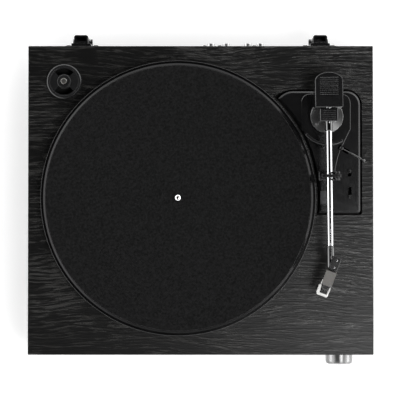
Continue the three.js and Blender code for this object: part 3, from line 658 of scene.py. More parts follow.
def case():
    """The veneered plinth as one hollow shell, with its recess, holes and rear window."""
    x, y = (-HALF_WIDTH, HALF_WIDTH), (-HALF_DEPTH, HALF_DEPTH)
    shell = slab(rectangle(x, y, 0.9), CASE_BOTTOM, 0, 0.7, 0.4)
    inner_x, inner_y = HALF_WIDTH - BOARD, HALF_DEPTH - BOARD
    hollow = block((-inner_x, inner_x), (-inner_y, inner_y), (CASE_BOTTOM - 1, -BOARD), 0)
    recess = slab(plate_outline(GROOVE), PLATE_LOW.z - DECK - 0.3, 1, 0)
    groove = cut(slab(plate_outline(GROOVE), -8, 1, 0), slab(plate_outline(0.3), -9, 2, 0))
    pocket = moved(bar(16, -10, 1), ADAPTER.x, ADAPTER.y)
    well = slab(plate_outline(-5), -BOARD - 1, 1, 0)
    holes = [moved(bar(radius, -BOARD - 1, 1, 0.2), centre.x, centre.y)
             for radius, centre in ((8, PLATTER), (8, PULLEY), (2.8, ADAPTER))]
    bushing = rod_y(4.6, -HALF_DEPTH - 1, BOARD + 1 - HALF_DEPTH, KNOB.x, KNOB.z - DECK, 0.2)
    jack_low, jack_high = span("jack_plate")
    window = block((jack_low.x + 4, jack_high.x - 4), (inner_y - 1, HALF_DEPTH + 1), (-43, -27))
    return cut(shell, hollow, recess, groove, pocket, well, *holes, bushing, window)


def foot():
    """A moulded foot with a step, a soft ring to stand on and a hollow in the middle for its screw."""
    height = span("bottom_cover")[0].z
    profile = [(0, FOOT_SINK), (5, FOOT_SINK, 0.4), (5, 0.4, 0.4), (8, 0, 0.6), (14.5, 0, 0.8),
               (15.6, 1.4, 0.6), (17, 3.4, 0.4), (17, 4.3, 0.2), (FOOT_RADIUS, 4.9, 0.5),
               (FOOT_RADIUS, height, 0.4), (0, height)]
    grooves = [lathe([(r, -1), (r + 0.8, -1), (r + 0.8, 0.5), (r, 0.5)], 64, loop=True)
               for r in (9.6, 12)]
    return cut(turning(profile, 4, 80), *grooves)


def make_plinth():
    boards = ["top_board", "front_board", "rear_board", "left_board", "right_board"]
    plinth = piece("plinth_case", case(), "ash_veneer", replaces=boards)
    plinth.data.materials.append(ASH_ALONG_Y)
    plinth.data.materials.append(LOOKS["rubber"])
    for face in plinth.data.polygons:
        x, y, z = face.center / MM
        if abs(x) < HALF_WIDTH - 1 and abs(y) < HALF_DEPTH - 1 and z < DECK - 0.2:
            face.material_index = CUT_EDGE
        else:
            face.material_index = GRAIN_ALONG_Y if abs(face.normal.x) > 0.8 else GRAIN_ALONG_X
    cover = span("bottom_cover")[0].z
    places = [(x, y, cover) for x in (-178, 0, 178) for y in (-158, 158)]
    piece("cover_screws", screws((3.2, 1.4), 180, places), "steel", place=UNMOVED)
    for row, y in (("front", -1), ("rear", 1)):
        for column, x in (("left", -1), ("right", 1)):
            node = f"foot_{row}_{column}"
            centre = x * (HALF_WIDTH - FOOT_INSET), y * (HALF_DEPTH - FOOT_INSET), 0
            place = Matrix.Translation(centre)
            piece(node + "_pad", foot(), "rubber", place=place, replaces=[node])
            pin = screws((2.6, 1.2), 180, [(0, 0, FOOT_SINK)])
            piece(node + "_screw", pin, "steel", place=place)


# ---- Platter and its drive ----

def platter_profile():
    """The die-cast platter, hollow below, with the belt's ring inside."""
    radius, low, top = PLATTER_RADIUS, PLATTER_LOW, PLATTER_TOP
    ceiling, bore, hub = top - 3.5, 3.65, 14
    ring_in, ring_out, rim = 85, 88, radius - 4
    rim_top = top - 1.2
    return [(bore, 5), (hub, 5, 0.5), (hub, ceiling, 1.2), (ring_in, ceiling, 1), (ring_in, 5, 0.4),
            (ring_out, 5, 0.4), (ring_out, ceiling, 0.8), (rim, ceiling, 1.4), (rim, low, 0.5),
            (radius - 0.9, low, 0.4), (radius, low + 0.9, 0.4), (radius, rim_top - 0.4, 0.2),
            (radius - 0.4, rim_top, 0.2), (MAT_RADIUS + 2.6, rim_top, 0.1),
            (MAT_RADIUS + 0.4, top, 0.2), (MAT_RADIUS + 0.1, top - 0.25),
            (bore + 1, top - 0.25), (bore, top - 0.6)]


def slipmat():
    """Felt laid on the platter: a thin disc with a soft, slightly uneven top."""
    hole, edge, low, top, rings = 4.2, MAT_RADIUS, PLATTER_TOP + 0.1, MAT_TOP - 0.15, 48
    profile = [(edge, low), (edge, top - 0.9), (edge - 0.3, top - 0.35)]
    profile += [(hole + (edge - hole) * k / rings, top) for k in reversed(range(rings))]
    mesh = lathe(profile + [(hole, low)], 240, loop=True)
    for vertex in mesh.vertices:
        if vertex.co.z > low + 0.1:
            vertex.co.z += 0.12 * noise.noise(vertex.co / 14) - 0.02
    return mesh


def spindle():
    low, high = span("spindle")
    radius, top = 3.6, high.z - DECK
    dome = [(radius * math.cos(a), top - radius * 0.75 * (1 - math.sin(a)))
            for a in (math.radians(step) for step in range(0, 91, 10))]
    profile = [(0, low.z - DECK), (radius, low.z - DECK), (radius, 2.6), (9, 2.6), (9, 4.7),
               (radius, 4.7)]
    return lathe(profile + dome, 64)


def make_platter():
    centre = at(PLATTER.x, PLATTER.y)
    body = turning(platter_profile(), 4, 256, loop=True)
    piece("platter_casting", body, "black_paint", "platter_assembly", centre, ["platter"])
    mat = piece("felt_slipmat", slipmat(), "felt", "platter_assembly", centre, ["slipmat"])
    piece("centre_spindle", spindle(), "chrome", "platter_assembly", centre, ["spindle"])


# ---- 45-rpm adapter ----

def adapter():
    """A disc with a raised rim and hub and two curved finger slots."""
    radius, height, hub, bore = 19, 5.8, 7, 3.75
    profile = [(bore, 0.3), (radius - 0.6, 0.3, 0.2), (radius, 1, 0.3), (radius, height - 1, 0.6),
               (radius - 1.2, height, 0.5), (16, height, 0.3), (15.4, height - 1, 0.3),
               (hub + 0.4, height - 1, 0.4), (hub, height + 1.4, 0.5), (bore, height + 1.4, 0.4)]
    outlines = [arc(0, 0, 14.4, start, end, 16) + arc(0, 0, 8.4, end, start, 12)
                for start, end in ((45, 135), (225, 315))]
    slots = [slab(outline, -1, height + 3, 0) for outline in outlines]
    return cut(turning(profile, 4, 128, loop=True), *slots)


def make_adapter():
    centre = at(ADAPTER.x, ADAPTER.y)
    piece("adapter_disc", adapter(), BLACK, "adapter_45", centre, ["adapter_45"], SATIN_BLACK)
    profile = [(0, -11), (2.5, -11), (2.5, 0.3), (3.5, 0.3, 0.2), (3.5, 7.9, 0.5), (2.6, 8.8, 0.4),
               (0, 8.8)]
    piece("adapter_post", turning(profile, 4, 48), "grey_metal", place=centre,
          replaces=["adapter_peg"])


# ---- Tonearm plate and what stands on it ----

PLATE_TOP = 1.6
RAISED_TOP = 3.0
RAISED_LEFT, RAISED_RIGHT, RAISED_REAR = 110.6, 164.8, 117
TURRET_RADIUS = 17.9
SLOT_X = 163.8
SPEED_SLOT, SIZE_SLOT = (26.2, 34), (0.8, 14.4)
SPEED_KNOB, SIZE_KNOB = (31.8, 1.8), (3.4, 2.2)
STRIP_X, STRIP_Y = (131.6, 141), (-4.3, 10)


def raised_outline():
    """The raised area round the pivot, narrowing towards the arm rest."""
    left, right, rear = RAISED_LEFT, RAISED_RIGHT, RAISED_REAR
    outline = round_platter(PLATTER_RADIUS + PLATTER_GAP + 0.4, 31.5, 76, 24) + [(left, 77.5)]
    outline += curve((left, rear - 10), (left + 0.5, rear), (left + 11, rear))
    outline += curve((right - 11, rear), (right, rear - 1), (right, rear - 11))
    outline += [(right, 78)] + curve((157, 62), (150.5, 50), (148, 33), 10) + [(148, 31.5)]
    return list(reversed(outline))


def groove_frame(x, y):
    """A thin engraved rectangle, as a tool to cut with."""
    width = 0.5
    outer = block(x, y, (PLATE_TOP - 0.4, PLATE_TOP + 2), 0.05)
    inner = block((x[0] + width, x[1] - width), (y[0] + width, y[1] - width),
                  (PLATE_TOP - 1, PLATE_TOP + 3), 0.05)
    return cut(outer, inner)


def tonearm_plate():
    deep = PLATE_LOW.z - DECK
    base = bevelled(plate_outline(), deep, PLATE_TOP, 1.9, 1.15)
    raised = bevelled(raised_outline(), 0, RAISED_TOP, 0.5, 0.4)
    guide = moved(bar(4.5, 0, 9, 0.5), *lift_rod())
    tools = [moved(bar(2.3, deep - 1, 10), *lift_rod()),
             moved(bar(8.4, deep - 1, RAISED_TOP + 1), PIVOT.x, PIVOT.y)]
    lever = block((-4, 9), (-2.5, 2.5), (deep - 1, RAISED_TOP + 1), 0.1)
    tools.append(moved(turned(lever, -30), LEVER.x, LEVER.y))
    for y in (SPEED_SLOT, SIZE_SLOT):
        tools.append(block((SLOT_X - 2.1, SLOT_X + 2.1), y, (deep - 1, PLATE_TOP + 1), 0.1))
    tools += [groove_frame((156.6, 170.8), y) for y in ((20.9, 40), (-3.4, 19.3))]
    return cut(join(base, raised, guide), *tools)


def lift_rod():
    """Where the cue platform's rod stands."""
    angle = math.radians(-100)
    return PIVOT.x + 31 * math.cos(angle), PIVOT.y + 31 * math.sin(angle)


def make_plate():
    piece("tonearm_base_plate", tonearm_plate(), BLACK, replaces=["tonearm_plate"])
    strip = block(STRIP_X, STRIP_Y, (PLATE_TOP - 0.3, PLATE_TOP + 0.25), 0.12)
    ridges = [block(STRIP_X, (y - 0.35, y + 0.35), (PLATE_TOP, PLATE_TOP + 0.6), 0.15)
              for y in (STRIP_Y[0] + 0.4, STRIP_Y[1] - 0.4)]
    piece("plate_strip", join(strip, *ridges), BLACK, material=SMOOTH_BLACK)
    column = [(3.3, -34), (8, -34), (8, 3.3), (14, 3.3, 0.4), (14, 6.5, 0.4), (13, 7.3, 0.4),
              (13, 11.7), (3.3, 11.7)]
    pivot = at(PIVOT.x, PIVOT.y)
    column = turning(column, 3, 96, loop=True)
    piece("pivot_column", column, BLACK, place=pivot, replaces=["arm_column"])
    radius = TURRET_RADIUS
    disc = [(5, 12), (radius - 0.5, 12, 0.3), (radius, 12.5, 0.3), (radius, 13.4, 0.3),
            (radius - 0.4, 14, 0.1), (5, 14)]
    piece("spun_turret_disc", turning(disc, 3, 160, loop=True), "spun_aluminium", place=pivot,
          replaces=["turret_disc"], material=DISC_METAL)


def slider(x, knob, half):
    """A switch's cap with grip ridges, on its stem."""
    cap = block((x - 1.6, x + 1.6), (knob - half, knob + half),
                (PLATE_TOP - 1, PLATE_TOP + 1.5), 0.25)
    pitch = 0.8
    count = int(half * 2 / pitch)
    middles = [knob + (k - (count - 1) / 2) * pitch for k in range(count)]
    height = (PLATE_TOP + 1, PLATE_TOP + 1.95)
    ridges = [block((x - 1.4, x + 1.4), (y - 0.2, y + 0.2), height, 0.12) for y in middles]
    stem = block((x - 1.2, x + 1.2), (knob - 1.2, knob + 1.2), (-8, PLATE_TOP), 0.1)
    return join(cap, stem, *ridges)


def make_sliders():
    for name, knob in (("speed", SPEED_KNOB), ("size", SIZE_KNOB)):
        piece(f"{name}_slider_cap", slider(SLOT_X, *knob), BLACK, f"{name}_slider",
              replaces=[f"{name}_slider"])


def make_cueing():
    """The lift platform under the tube, and its lever of bent wire."""
    outline = arc(PIVOT.x, PIVOT.y, 32.8, -140, -60, 24)
    outline += arc(PIVOT.x, PIVOT.y, 29.6, -60, -140, 24)
    bow = slab(outline, 28.5, 31.2, 1.2, 0.5, 5)
    rod = moved(bar(2, -10, 29, 0.2), *lift_rod())
    piece("cue_lift_platform", join(bow, rod), BLACK, "cue_platform", replaces=["cue_platform"])
    lever = at(LEVER.x, LEVER.y, LEVER.z - DECK, -30)
    rise = math.tan(math.radians(12))
    thin = wire([(x, 0, x * rise) for x in (1, 8, 16, 22, 27.5)], 0.6, ball=1.6)
    thick = wire([(x, 0, x * rise) for x in (12.5, 17, 23)], 1.1)
    piece("cue_lever_wire", gathered([thin, thick]), "chrome", "cue_lever", lever, ["cue_lever"],
          WIRE_METAL)
    hub = along_y(bar(2.4, -1.6, 1.6, 0.3))
    piece("cue_lever_hub", hub, BLACK, "cue_lever", lever)


# ---- Arm rest ----

def make_arm_rest():
    x, y, half, shelf = 138.7, REST_PIN.y, 4.7, 31.4
    pin_x, pin_z = REST_PIN.x, REST_PIN.z - DECK
    sides = (y - half, y + half)
    pedestal = block((x - 7, x + 7), sides, (1.9, shelf - 4), 0.8)
    rib = block((x - 4, x + 4), (sides[0] - 0.05, sides[1] + 0.05), (2, shelf - 5), 0.3)
    cradle = block((127.5, pin_x + 2.6), sides, (shelf - 5, shelf), 0.9)
    saddle = rod_y(3.6, sides[0] - 1, sides[1] + 1, *tube_over_rest())
    ears = []
    for side in (-1, 1):
        reach = sorted((y + side * half, y + side * (half - 2.1)))
        ear = fillet([(pin_x - 2.6, shelf - 1), (pin_x + 2.6, shelf - 1),
                      (pin_x + 2.6, pin_z + 2.6, 2.5), (pin_x - 2.6, pin_z + 2.6, 2.5)], 8)
        ears.append(from_front(ear, *reach, 0.25))
    hole = rod_y(1.25, y - 6, y + 6, pin_x, pin_z)
    rest = cut(join(pedestal, rib, cradle, *ears), hole, saddle)
    piece("arm_rest_post", rest, BLACK, replaces=["arm_rest"])
    piece("arm_rest_clip", clip(y, pin_x, pin_z), BLACK, "rest_clip", replaces=["rest_clip"])


def tube_over_rest():
    """Where the tube passes over the arm rest: X and the height of its middle."""
    return PIVOT.x + math.sin(REST_ANGLE) * (PIVOT.y - REST_PIN.y), TUBE_HEIGHT


def clip(y, pin_x, pin_z):
    """The curved finger that closes over the tube, with its knuckle and a tab to push."""
    top = pin_z + 4.8
    finger = [(129.6, top - 3.4, 0.5), (129.2, top - 0.9, 1), (133, top, 3), (pin_x, top, 2),
              (pin_x + 3.4, top - 0.4, 1), (pin_x + 3.6, pin_z - 0.4, 0.6),
              (pin_x + 2, pin_z - 0.4, 0.6), (pin_x + 1.4, top - 2, 1), (133.4, top - 1.7, 3),
              (131, top - 2.2, 1), (130.8, top - 3.4, 0.4)]
    finger = from_front(list(reversed(fillet(finger, 5))), y - 1.7, y + 1.7, 0.3)
    knuckle = rod_y(2.5, y - 2.2, y + 2.2, pin_x, pin_z, 0.3)
    web = block((pin_x - 2.1, pin_x + 2.1), (y - 1.9, y + 1.9), (pin_z, top - 0.9), 0.3)
    wings = [(pin_x - 5, y), (pin_x - 0.8, y - 4.2, 0.8), (pin_x + 0.8, y - 4, 0.8),
             (pin_x + 0.8, y + 4, 0.8), (pin_x - 0.8, y + 4.2, 0.8)]
    tab = slab(fillet(wings, 4), top - 1.5, top - 0.2, 0.4, 0.2)
    return cut(join(finger, knuckle, web, tab), rod_y(1.3, y - 6, y + 6, pin_x, pin_z))


# ---- Tonearm, drawn with the pivot at the origin and the tube along -Y ----

TUBE_RADIUS = 3.2
BLOCK_HALF = 6.7
CHEEK_TOP = 37.4
HOUSING_HALF, HOUSING_FRONT, HOUSING_STRAIGHT, HOUSING_REAR = 14.9, 7.6, 36, 45.3
HOUSING_LOW, HOUSING_TOP = 20, 44
COLLAR_FRONT, COLLAR_REAR = -164, -140.5
SHELL_TOP, SHELL_TONGUE, SHEET = 37.6, 29.2, 1.3


def on_tube_line(profile, rounding, steps):
    """A profile (radius, place along Y) turned about the middle of the tube."""
    return moved(along_y(turning(profile, rounding, steps)), 0, 0, TUBE_HEIGHT)


def make_pivot():
    """The yoke that turns on the column, and the ribbed block that tilts in it."""
    base = block((-9.4, 9.4), (-6.3, 6.3), (14.4, 20), 0.8)
    cheeks = []
    for x in ((-9.4, -7.1), (7.1, 9.4)):
        side = fillet([(-6.3, 18), (6.3, 18), (6.3, CHEEK_TOP, 2.5), (-6.3, CHEEK_TOP, 2.5)], 6)
        cheeks.append(from_side(side, *x, 0.3))
    hole = rod_x(1.85, -12, 12, 0, TILT_HEIGHT)
    yoke = cut(join(base, *cheeks, bar(3, -32, 16, 0.2)), hole)
    piece("turning_yoke", yoke, BLACK, "arm_yoke", ARM, ["pivot_yoke"])
    body = block((-BLOCK_HALF, BLOCK_HALF), (-6.4, 6.4), (26.4, 39.1), 0.7)
    high = span("pivot_block")[1].z - DECK
    cap = bevelled(rectangle((-9.7, 9.7), (-7.1, 7.1), 1), CHEEK_TOP + 0.8, high - 0.5, 0.8, 0.65)
    frame_cut = block((-7.4, 7.4), (-5.6, 5.6), (high - 0.7, high + 1), 0.1)
    ribs = [block((-7, 7), (y - 0.55, y + 0.55), (high - 1.6, high - 0.1), 0.45)
            for y in (-4.4, -2.2, 0, 2.2, 4.4)]
    nose = [(0, -17.3), (3.6, -17.3), (4.2, -16.7, 0.4), (4.2, -9, 0.5), (4.6, -7.5, 0.5),
            (4.6, 0), (0, 0)]
    nose = cut(on_tube_line(nose, 4, 64), body)
    bores = [rod_y(TUBE_RADIUS + 0.15, -20, 20, 0, TUBE_HEIGHT),
             rod_x(1.75, -12, 12, 0, TILT_HEIGHT)]
    tilting = cut(join(cut(join(body, cap), frame_cut), *ribs), *bores)
    piece("ribbed_pivot_block", tilting, BLACK, "tonearm", ARM, ["pivot_block"])
    piece("rear_collar", cut(nose, *bores), "chrome", "tonearm", ARM, material=DARK_CHROME)


def make_tube():
    rings = [(2.4, -152), (2.4, 21), (TUBE_RADIUS, 21), (TUBE_RADIUS, -152)]
    tube = moved(along_y(lathe(rings, 96, loop=True)), 0, 0, TUBE_HEIGHT)
    piece("chrome_arm_tube", tube, "chrome", "tonearm", ARM, ["arm_tube"])
    radius, bore, bottom = 4.1, TUBE_RADIUS + 0.3, -152.4
    profile = [(0, COLLAR_FRONT), (radius, COLLAR_FRONT, 0.3), (radius, COLLAR_REAR - 2.6, 0.1),
               (radius - 0.3, COLLAR_REAR - 2.3, 0.1), (radius - 0.3, COLLAR_REAR - 1.9, 0.1),
               (radius, COLLAR_REAR - 1.6, 0.1), (radius, COLLAR_REAR - 0.4, 0.3),
               (radius - 0.5, COLLAR_REAR, 0.2), (bore, COLLAR_REAR), (bore, bottom), (0, bottom)]
    piece("chrome_collar", on_tube_line(profile, 3, 96), "chrome", "tonearm", ARM,
          ["front_collar"], DARK_CHROME)


def housing_outline(margin=0.0):
    """The housing's outline, shrunk by a margin: square in front, with a bow at the rear."""
    half, front, straight = HOUSING_HALF - margin, HOUSING_FRONT + margin, HOUSING_STRAIGHT
    flat = (HOUSING_REAR - straight - margin) / half
    corners = [(half, straight), (-half, straight), (-half, front, 1.4), (half, front, 1.4)]
    return fillet(corners, 5)[2:] + arc(0, straight, half, 0, 180, 32, flat)


def make_housing():
    """The counterweight's cover, open below, with grip ribs across its rear half."""
    shell = bevelled(housing_outline(), HOUSING_LOW, HOUSING_TOP - 0.1, 0.6, 0.55)
    hollow = slab(housing_outline(1.8), HOUSING_LOW - 1, HOUSING_TOP - 1.9, 0.5)
    mouth = rod_y(TUBE_RADIUS + 0.4, 0, 12, 0, TUBE_HEIGHT)
    panel = block((-10.9, 10.9), (20.2, 40.6), (HOUSING_TOP - 0.5, HOUSING_TOP + 1), 0.2)
    ribs = [block((-10, 10), (y - 0.65, y + 0.65), (HOUSING_TOP - 1, HOUSING_TOP + 0.7), 0.5)
            for y in (21.6 + 2.2 * k for k in range(9))]
    shell = join(cut(shell, hollow, mouth, panel), *ribs)
    piece("ribbed_weight_housing", shell, BLACK, "tonearm", ARM, ["counterweight_housing"])


def make_headshell():
    """The black connector block, the folded sheet for the cartridge, and its finger lift."""
    body = block((-5, 5), (-7.4, 7.5), (SHELL_TONGUE + SHEET + 0.3, 40.7), 0.7)
    socket = along_y(bar(4.4, COLLAR_FRONT - 0.4, COLLAR_REAR + 20))
    socket = moved(socket, -HEAD_X, -HEAD_Y, TUBE_HEIGHT)
    body = cut(body, turned(socket, math.degrees(REST_ANGLE - HEAD_ANGLE)))
    panel = cut(block((-3.9, 3.9), (-6.2, 6.2), (40.35, 41.5), 0.15),
                block((-3.3, 3.3), (-5.6, 5.6), (40, 42), 0.1))
    piece("head_connector_block", cut(body, panel), BLACK, "tonearm", HEAD, ["headshell_block"])
    for name, y in (("rear", 3.9), ("front", -3.9)):
        pin = moved(screw(1.5, 0.45), 0.4, y, 40.4)
        piece(f"head_screw_{name}", pin, "steel", "tonearm", HEAD, material=DARK_CHROME)
    riser, front, low = -7.8, -25.3, SHELL_TONGUE
    fold = [(5, low), (5, low + SHEET), (riser, low + SHEET, 0.4), (riser, SHELL_TOP, 1.6),
            (front, SHELL_TOP), (front, SHELL_TOP - SHEET),
            (riser - SHEET, SHELL_TOP - SHEET, 0.5), (riser - SHEET, low, 1.4)]
    sheet = from_side(list(reversed(fillet(fold, 6))), -5.7, 5.7, 0.25)
    corners = [block((x - 1.4, x + 1.4), (front - 2, front + 1.2), (30, 40), 0.05)
               for x in (-6.6, 6.6)]
    piece("folded_headshell", cut(sheet, *corners), "grey_metal", "tonearm", HEAD, ["headshell"])
    z = SHELL_TOP + 0.95
    points = [(2.8, -22.8, z), (6, -24.9, z), (13.5, -25.2, z + 0.5), (20.8, -24.8, z + 2)]
    piece("finger_lift_wire", wire(points, 0.42), "chrome", "tonearm", HEAD, ["finger_lift"],
          WIRE_METAL)


def make_cartridge():
    side = [(-9.6, 36), (-9.6, 27), (-12, 24.6, 0.6), (-24, 24.6, 0.6), (-24.4, 26), (-24.4, 36)]
    body = from_side(fillet(side, 4), -4.5, 4.5, 0.5)
    notch = block((-3.4, 3.4), (-26, -22), (29.5, 33), 0.2)
    piece("cartridge_body", cut(body, notch), BLACK, "tonearm", HEAD, ["cartridge"])
    holder = [(-24.8, 32), (-24.8, 25), (-28, 25, 0.8), (-30.5, 27, 0.6), (-30.5, 30.5, 0.6),
              (-29, 32, 0.5)]
    holder = from_side(fillet(holder, 4), -3.2, 3.2, 0.5)
    cantilever = wire([(0, -29, 27), (0, -31, 25.6), (0, -32.9, 24.2)], 0.4, 12)
    tip = lathe([(0, 22.3), (0.12, 22.5), (0.4, 23.4), (0.4, 24.2), (0, 24.2)], 16)
    needle = gathered([holder, cantilever, moved(tip, 0, -32.7)])
    piece("stylus_holder", needle, BLACK, "tonearm", HEAD, ["stylus"])


def make_guard():
    """The white stylus guard: a U with a thick left arm, clipped to the cartridge's sides."""
    low, high = 22.4, 31
    outer = [(-6.4, -26, 0.9), (-6.4, -37.3, 2.2), (6, -37.3, 1.6), (6, -26, 0.6)]
    inner = [(4.4, -26, 0.6), (4.4, -34.4, 0.6), (-4, -34.4, 0.8), (-4, -26, 0.6)]
    guard = slab(fillet(outer + inner, 6), low, high, 0.5, 0.4, 4)
    clips = [block(x, (-27.2, -20), (27, 30.6), 0.15) for x in ((-5.6, -4.9), (4.9, 5.6))]
    grip = [block((-3 + 1.5 * k - 0.25, -3 + 1.5 * k + 0.25), (-37.25, -36.6), (24, 31.05), 0.1)
            for k in range(5)]
    guard = cut(join(guard, *clips), *grip)
    piece("white_stylus_guard", guard, "white_moulding", "stylus_guard", HEAD, ["stylus_guard"])


# ---- Volume knob ----

def make_knob():
    low, high = span("volume_knob")
    radius, front, back = high.x - KNOB.x, low.y, -HALF_DEPTH - 0.8
    profile = [(0, front + 0.5), (radius - 4, front + 0.5, 1), (radius - 3.4, front, 0.2),
               (radius - 1.7, front, 0.2), (radius - 0.1, front + 1.6, 0.2),
               (radius - 0.5, front + 2, 0.1), (radius - 0.5, front + 2.5, 0.1),
               (radius, front + 2.9, 0.2), (radius, back - 0.3, 0.3), (radius - 0.5, back, 0.1),
               (3, back), (3, -154), (0, -154)]
    body = along_y(turning(profile, 3, 192))
    mark = block((-0.45, 0.45), (front - 1, front + 0.9), (radius - 9, radius - 4.6), 0.1)
    place = Matrix.Translation((KNOB.x, 0, KNOB.z))
    piece("turned_knob", cut(body, mark), "spun_aluminium", "volume_knob", place,
          ["volume_knob"], KNOB_METAL)


# ---- Lid hinges, drawn with x = 0 at the hinge's middle ----

SCREW_HEIGHT = 54


def hinge_base(face, pin):
    spine = block((-10.85, 10.85), (face, face + 3.1), (34, 72), 0.5)
    wings = block((-19, 19), (face, face + 1.5), (46, 62), 0.4)
    lugs = []
    for x in ((-10.85, -8.2), (8.2, 10.85)):
        arm = block(x, (face + 1, pin.y), (pin.z - 4, pin.z + 4), 0.3)
        lugs += [arm, rod_x(4, *x, pin.y, pin.z, 0.4)]
    return cut(join(spine, wings, *lugs), rod_x(1.75, -12, 12, pin.y, pin.z))


def hinge_socket(pin):
    """The socket that takes the dust cover's tab, on its knuckle."""
    low, high = span("hinge_socket_left")
    half, top = (high.x - low.x) / 2, high.z
    front, rear = HALF_DEPTH + 3.9, high.y
    outline = [(-half, front, 0.5), (half, front, 0.5), (half, rear, 2.5), (-half, rear, 2.5)]
    box = slab(fillet(outline, 6), pin.z, top, 0.5, 0.3)
    knuckle = rod_x(3.2, -half, half, pin.y, pin.z, 0.3)
    slot = block((-5.4, 5.4), (front + 1.9, front + 6.4), (top - 18, top + 1), 0.15)
    grips = [block((-4.5, 4.5), (rear - 0.35, rear + 1), (z - 0.5, z + 0.5), 0.1)
             for z in (56, 59, 62, 65)]
    return cut(join(box, knuckle), slot, rod_x(1.8, -12, 12, pin.y, pin.z), *grips)


def make_hinges():
    face = HALF_DEPTH + 0.3
    for side in ("left", "right"):
        pin = hinge_point(f"lid_hinge_{side}")
        place = Matrix.Translation((pin.x, 0, 0))
        base, socket = f"hinge_base_{side}", f"hinge_socket_{side}"
        piece("lid_" + base, hinge_base(face, pin), BLACK, place=place, replaces=[base])
        piece("lid_" + socket, hinge_socket(pin), BLACK, socket, place, [socket])
        places = [(x, face + 1.5, SCREW_HEIGHT) for x in (-15.2, 15.2)]
        piece(f"lid_hinge_screws_{side}", screws((2.9, 1.7), -90, places), "black_paint",
              place=place)


# ---- Rear sockets ----

def make_sockets():
    low, high = span("jack_plate")
    through = low.y - 1, high.y + 1
    plate = from_front(rectangle((low.x, high.x), (low.z, high.z), 1.2), low.y, high.y, 0.3)
    sockets = [name for name in frame["nodes"] if name.startswith("phono_socket")]
    centres = [(span(name)[0] + span(name)[1]) / 2 for name in sockets]
    holes = [rod_y(4.4, *through, c.x, c.z) for c in centres]
    near, far = span("power_inlet")
    holes.append(block((near.x - 0.4, far.x + 0.4), through, (near.z - 0.4, far.z + 0.4), 0.1))
    piece("socket_plate", cut(plate, *holes), "black_paint", place=UNMOVED, replaces=["jack_plate"])
    places = [(x, high.y, SCREW_HEIGHT) for x in (4.7, 21.6, 60)]
    piece("socket_plate_screws", screws((2.4, 1.5), -90, places), "black_paint", place=UNMOVED)
    for name, centre in zip(sockets, centres):
        make_socket(name, centre, high.y + 0.3)


def make_socket(name, centre, flange):
    """A phono socket: a turned sleeve with an insulator and a hollow contact inside."""
    tip = span(name)[1].y
    sleeve = [(2.9, 160), (4.1, 160), (4.1, flange), (5.8, flange, 0.2), (5.8, flange + 0.9, 0.3),
              (4.15, flange + 0.9, 0.1), (4.15, tip - 0.1, 0.3), (3.6, tip - 0.1, 0.1),
              (3.6, 174.2), (2.9, 174.2)]
    ring = [(1.75, 162), (2.85, 162), (2.85, 174.6, 0.2), (1.75, 174.6, 0.2)]
    contact = [(1.2, 163), (1.65, 163), (1.65, 174.2, 0.1), (1.2, 174.2, 0.1)]
    colour = "white_moulding" if "left" in name else BLACK
    place = Matrix.Translation((centre.x, 0, centre.z))
    for part, profile, steps, slot, nodes in (("sleeve", sleeve, 64, "spun_aluminium", [name]),
                                              ("insulator", ring, 48, colour, []),
                                              ("contact", contact, 32, "brass", [])):
        body = along_y(turning(profile, 3, steps, loop=True))
        piece(f"{name}_{part}", body, slot, place=place, replaces=nodes)


# ---- Nodes that stay as they are ----

def dress_nodes():
    """Gives the CAD nodes that stay their materials, and rounds the edges that can be seen."""
    slots = {part["node"]: part["material_slot"] for part in frame["record"]["subparts"]}
    for name, obj in frame["nodes"].items():
        if obj.hide_render:
            continue
        obj.data.materials.clear()
        obj.data.materials.append(LOOKS[slots[name]])
        bevel = obj.modifiers.new("edges", "BEVEL")
        bevel.width, bevel.segments = 0.25 * MM, 2
        bevel.limit_method, bevel.angle_limit = "ANGLE", math.radians(40)


# ---- Camera, lights and floor ----

CAMERA_DISTANCE, CAMERA_LENS = 1.5, 122.7
CAMERA_ELEVATION = math.radians(88.9)
AIM = Vector((-0.7, 0.1, DECK)) * MM
KEY_LIGHT, KEY_AIM = Vector((0.73, -0.57, 2.05)), Vector((0, 0, 0.05))
KEY_SIZE, KEY_POWER = 0.8, 15.5
FLOOR = (-4000, 4000)
# The tent's heights are shares of straight up; its glow is the strength of its light.
TENT_TOP, TENT_TOP_SOFTNESS, TENT_FOOT, TENT_FOOT_SOFTNESS = 0.70, 0.12, 0.22, 0.2
SIDE_GLOW, END_GLOW, REAR_GLOW, FOOT_GLOW = 1.4, 0.35, 0.6, 2.5


def make_camera():
    data = bpy.data.cameras.new("camera")
    data.sensor_width = 36
    data.lens = CAMERA_LENS
    camera = linked("camera", data)
    back = Vector((0, -math.cos(CAMERA_ELEVATION), math.sin(CAMERA_ELEVATION)))
    camera.location = AIM + back * CAMERA_DISTANCE
    camera.rotation_euler = (math.pi / 2 - CAMERA_ELEVATION, 0, 0)
    bpy.context.scene.camera = camera


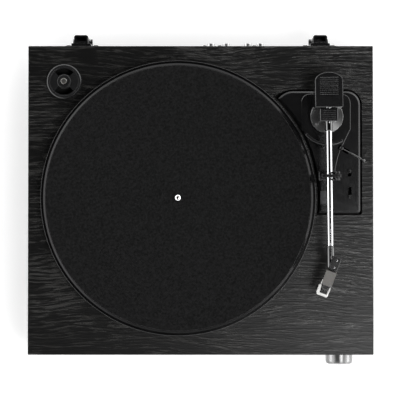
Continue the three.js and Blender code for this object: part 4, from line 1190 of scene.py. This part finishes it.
def make_floor():
    mesh = slab(rectangle(FLOOR, FLOOR, 1), -20, 0, 0)
    mesh.transform(Matrix.Scale(MM, 4))
    floor = linked("studio_floor", mesh)
    look = Look("pale_floor", Roughness=0.9, Emission_Color=(1, 1, 1, 1), Emission_Strength=0.42)
    look.feed("Base Color", look.mix(look.noise(0.4), (0.86, 0.86, 0.86), (0.89, 0.89, 0.89)))
    mesh.materials.append(look.material)


def make_key_light():
    data = bpy.data.lights.new("key", "AREA")
    data.shape = "RECTANGLE"
    data.size = data.size_y = KEY_SIZE
    data.energy = KEY_POWER
    light = linked("key", data)
    light.location = KEY_LIGHT
    light.rotation_euler = (KEY_AIM - KEY_LIGHT).to_track_quat("-Z", "Y").to_euler()


def make_tent():
    """A tent of white cloth, open at the top and brightest at its left and right sides."""
    scene = bpy.context.scene
    scene.world = bpy.data.worlds.new("studio")
    scene.world.use_nodes = True
    scene.view_settings.view_transform = "Standard"
    graph = Graph(scene.world.node_tree)
    heading = graph.node("TexCoord").outputs["Generated"]
    x, y, z = graph.node("SeparateXYZ", {0: heading}).outputs

    def graded(value, start, end, first, last):
        return graph.spread(value, first, last, start, end, interpolation_type="SMOOTHSTEP")

    sides = graded(graph.times(x, x), 0.09, 0.64, END_GLOW, SIDE_GLOW)
    walls = graph.add(sides, graded(y, 0.2, 0.8, 0, REAR_GLOW))
    glow = graph.times(walls, graded(z, TENT_TOP, TENT_TOP + TENT_TOP_SOFTNESS, 1, 0))
    foot_glow = graded(z, TENT_FOOT, TENT_FOOT + TENT_FOOT_SOFTNESS, FOOT_GLOW, 0)
    glow = graph.add(glow, foot_glow)
    background = graph.tree.nodes["Background"]
    graph.tree.links.new(glow, background.inputs["Strength"])
    background.inputs["Color"].default_value = (1, 1, 1, 1)


for make in (make_plinth, make_platter, make_adapter, make_plate, make_sliders, make_cueing,
             make_arm_rest, make_pivot, make_tube, make_housing, make_headshell, make_cartridge,
             make_guard, make_knob, make_hinges, make_sockets, dress_nodes, make_camera,
             make_floor, make_tent, make_key_light):
    make()
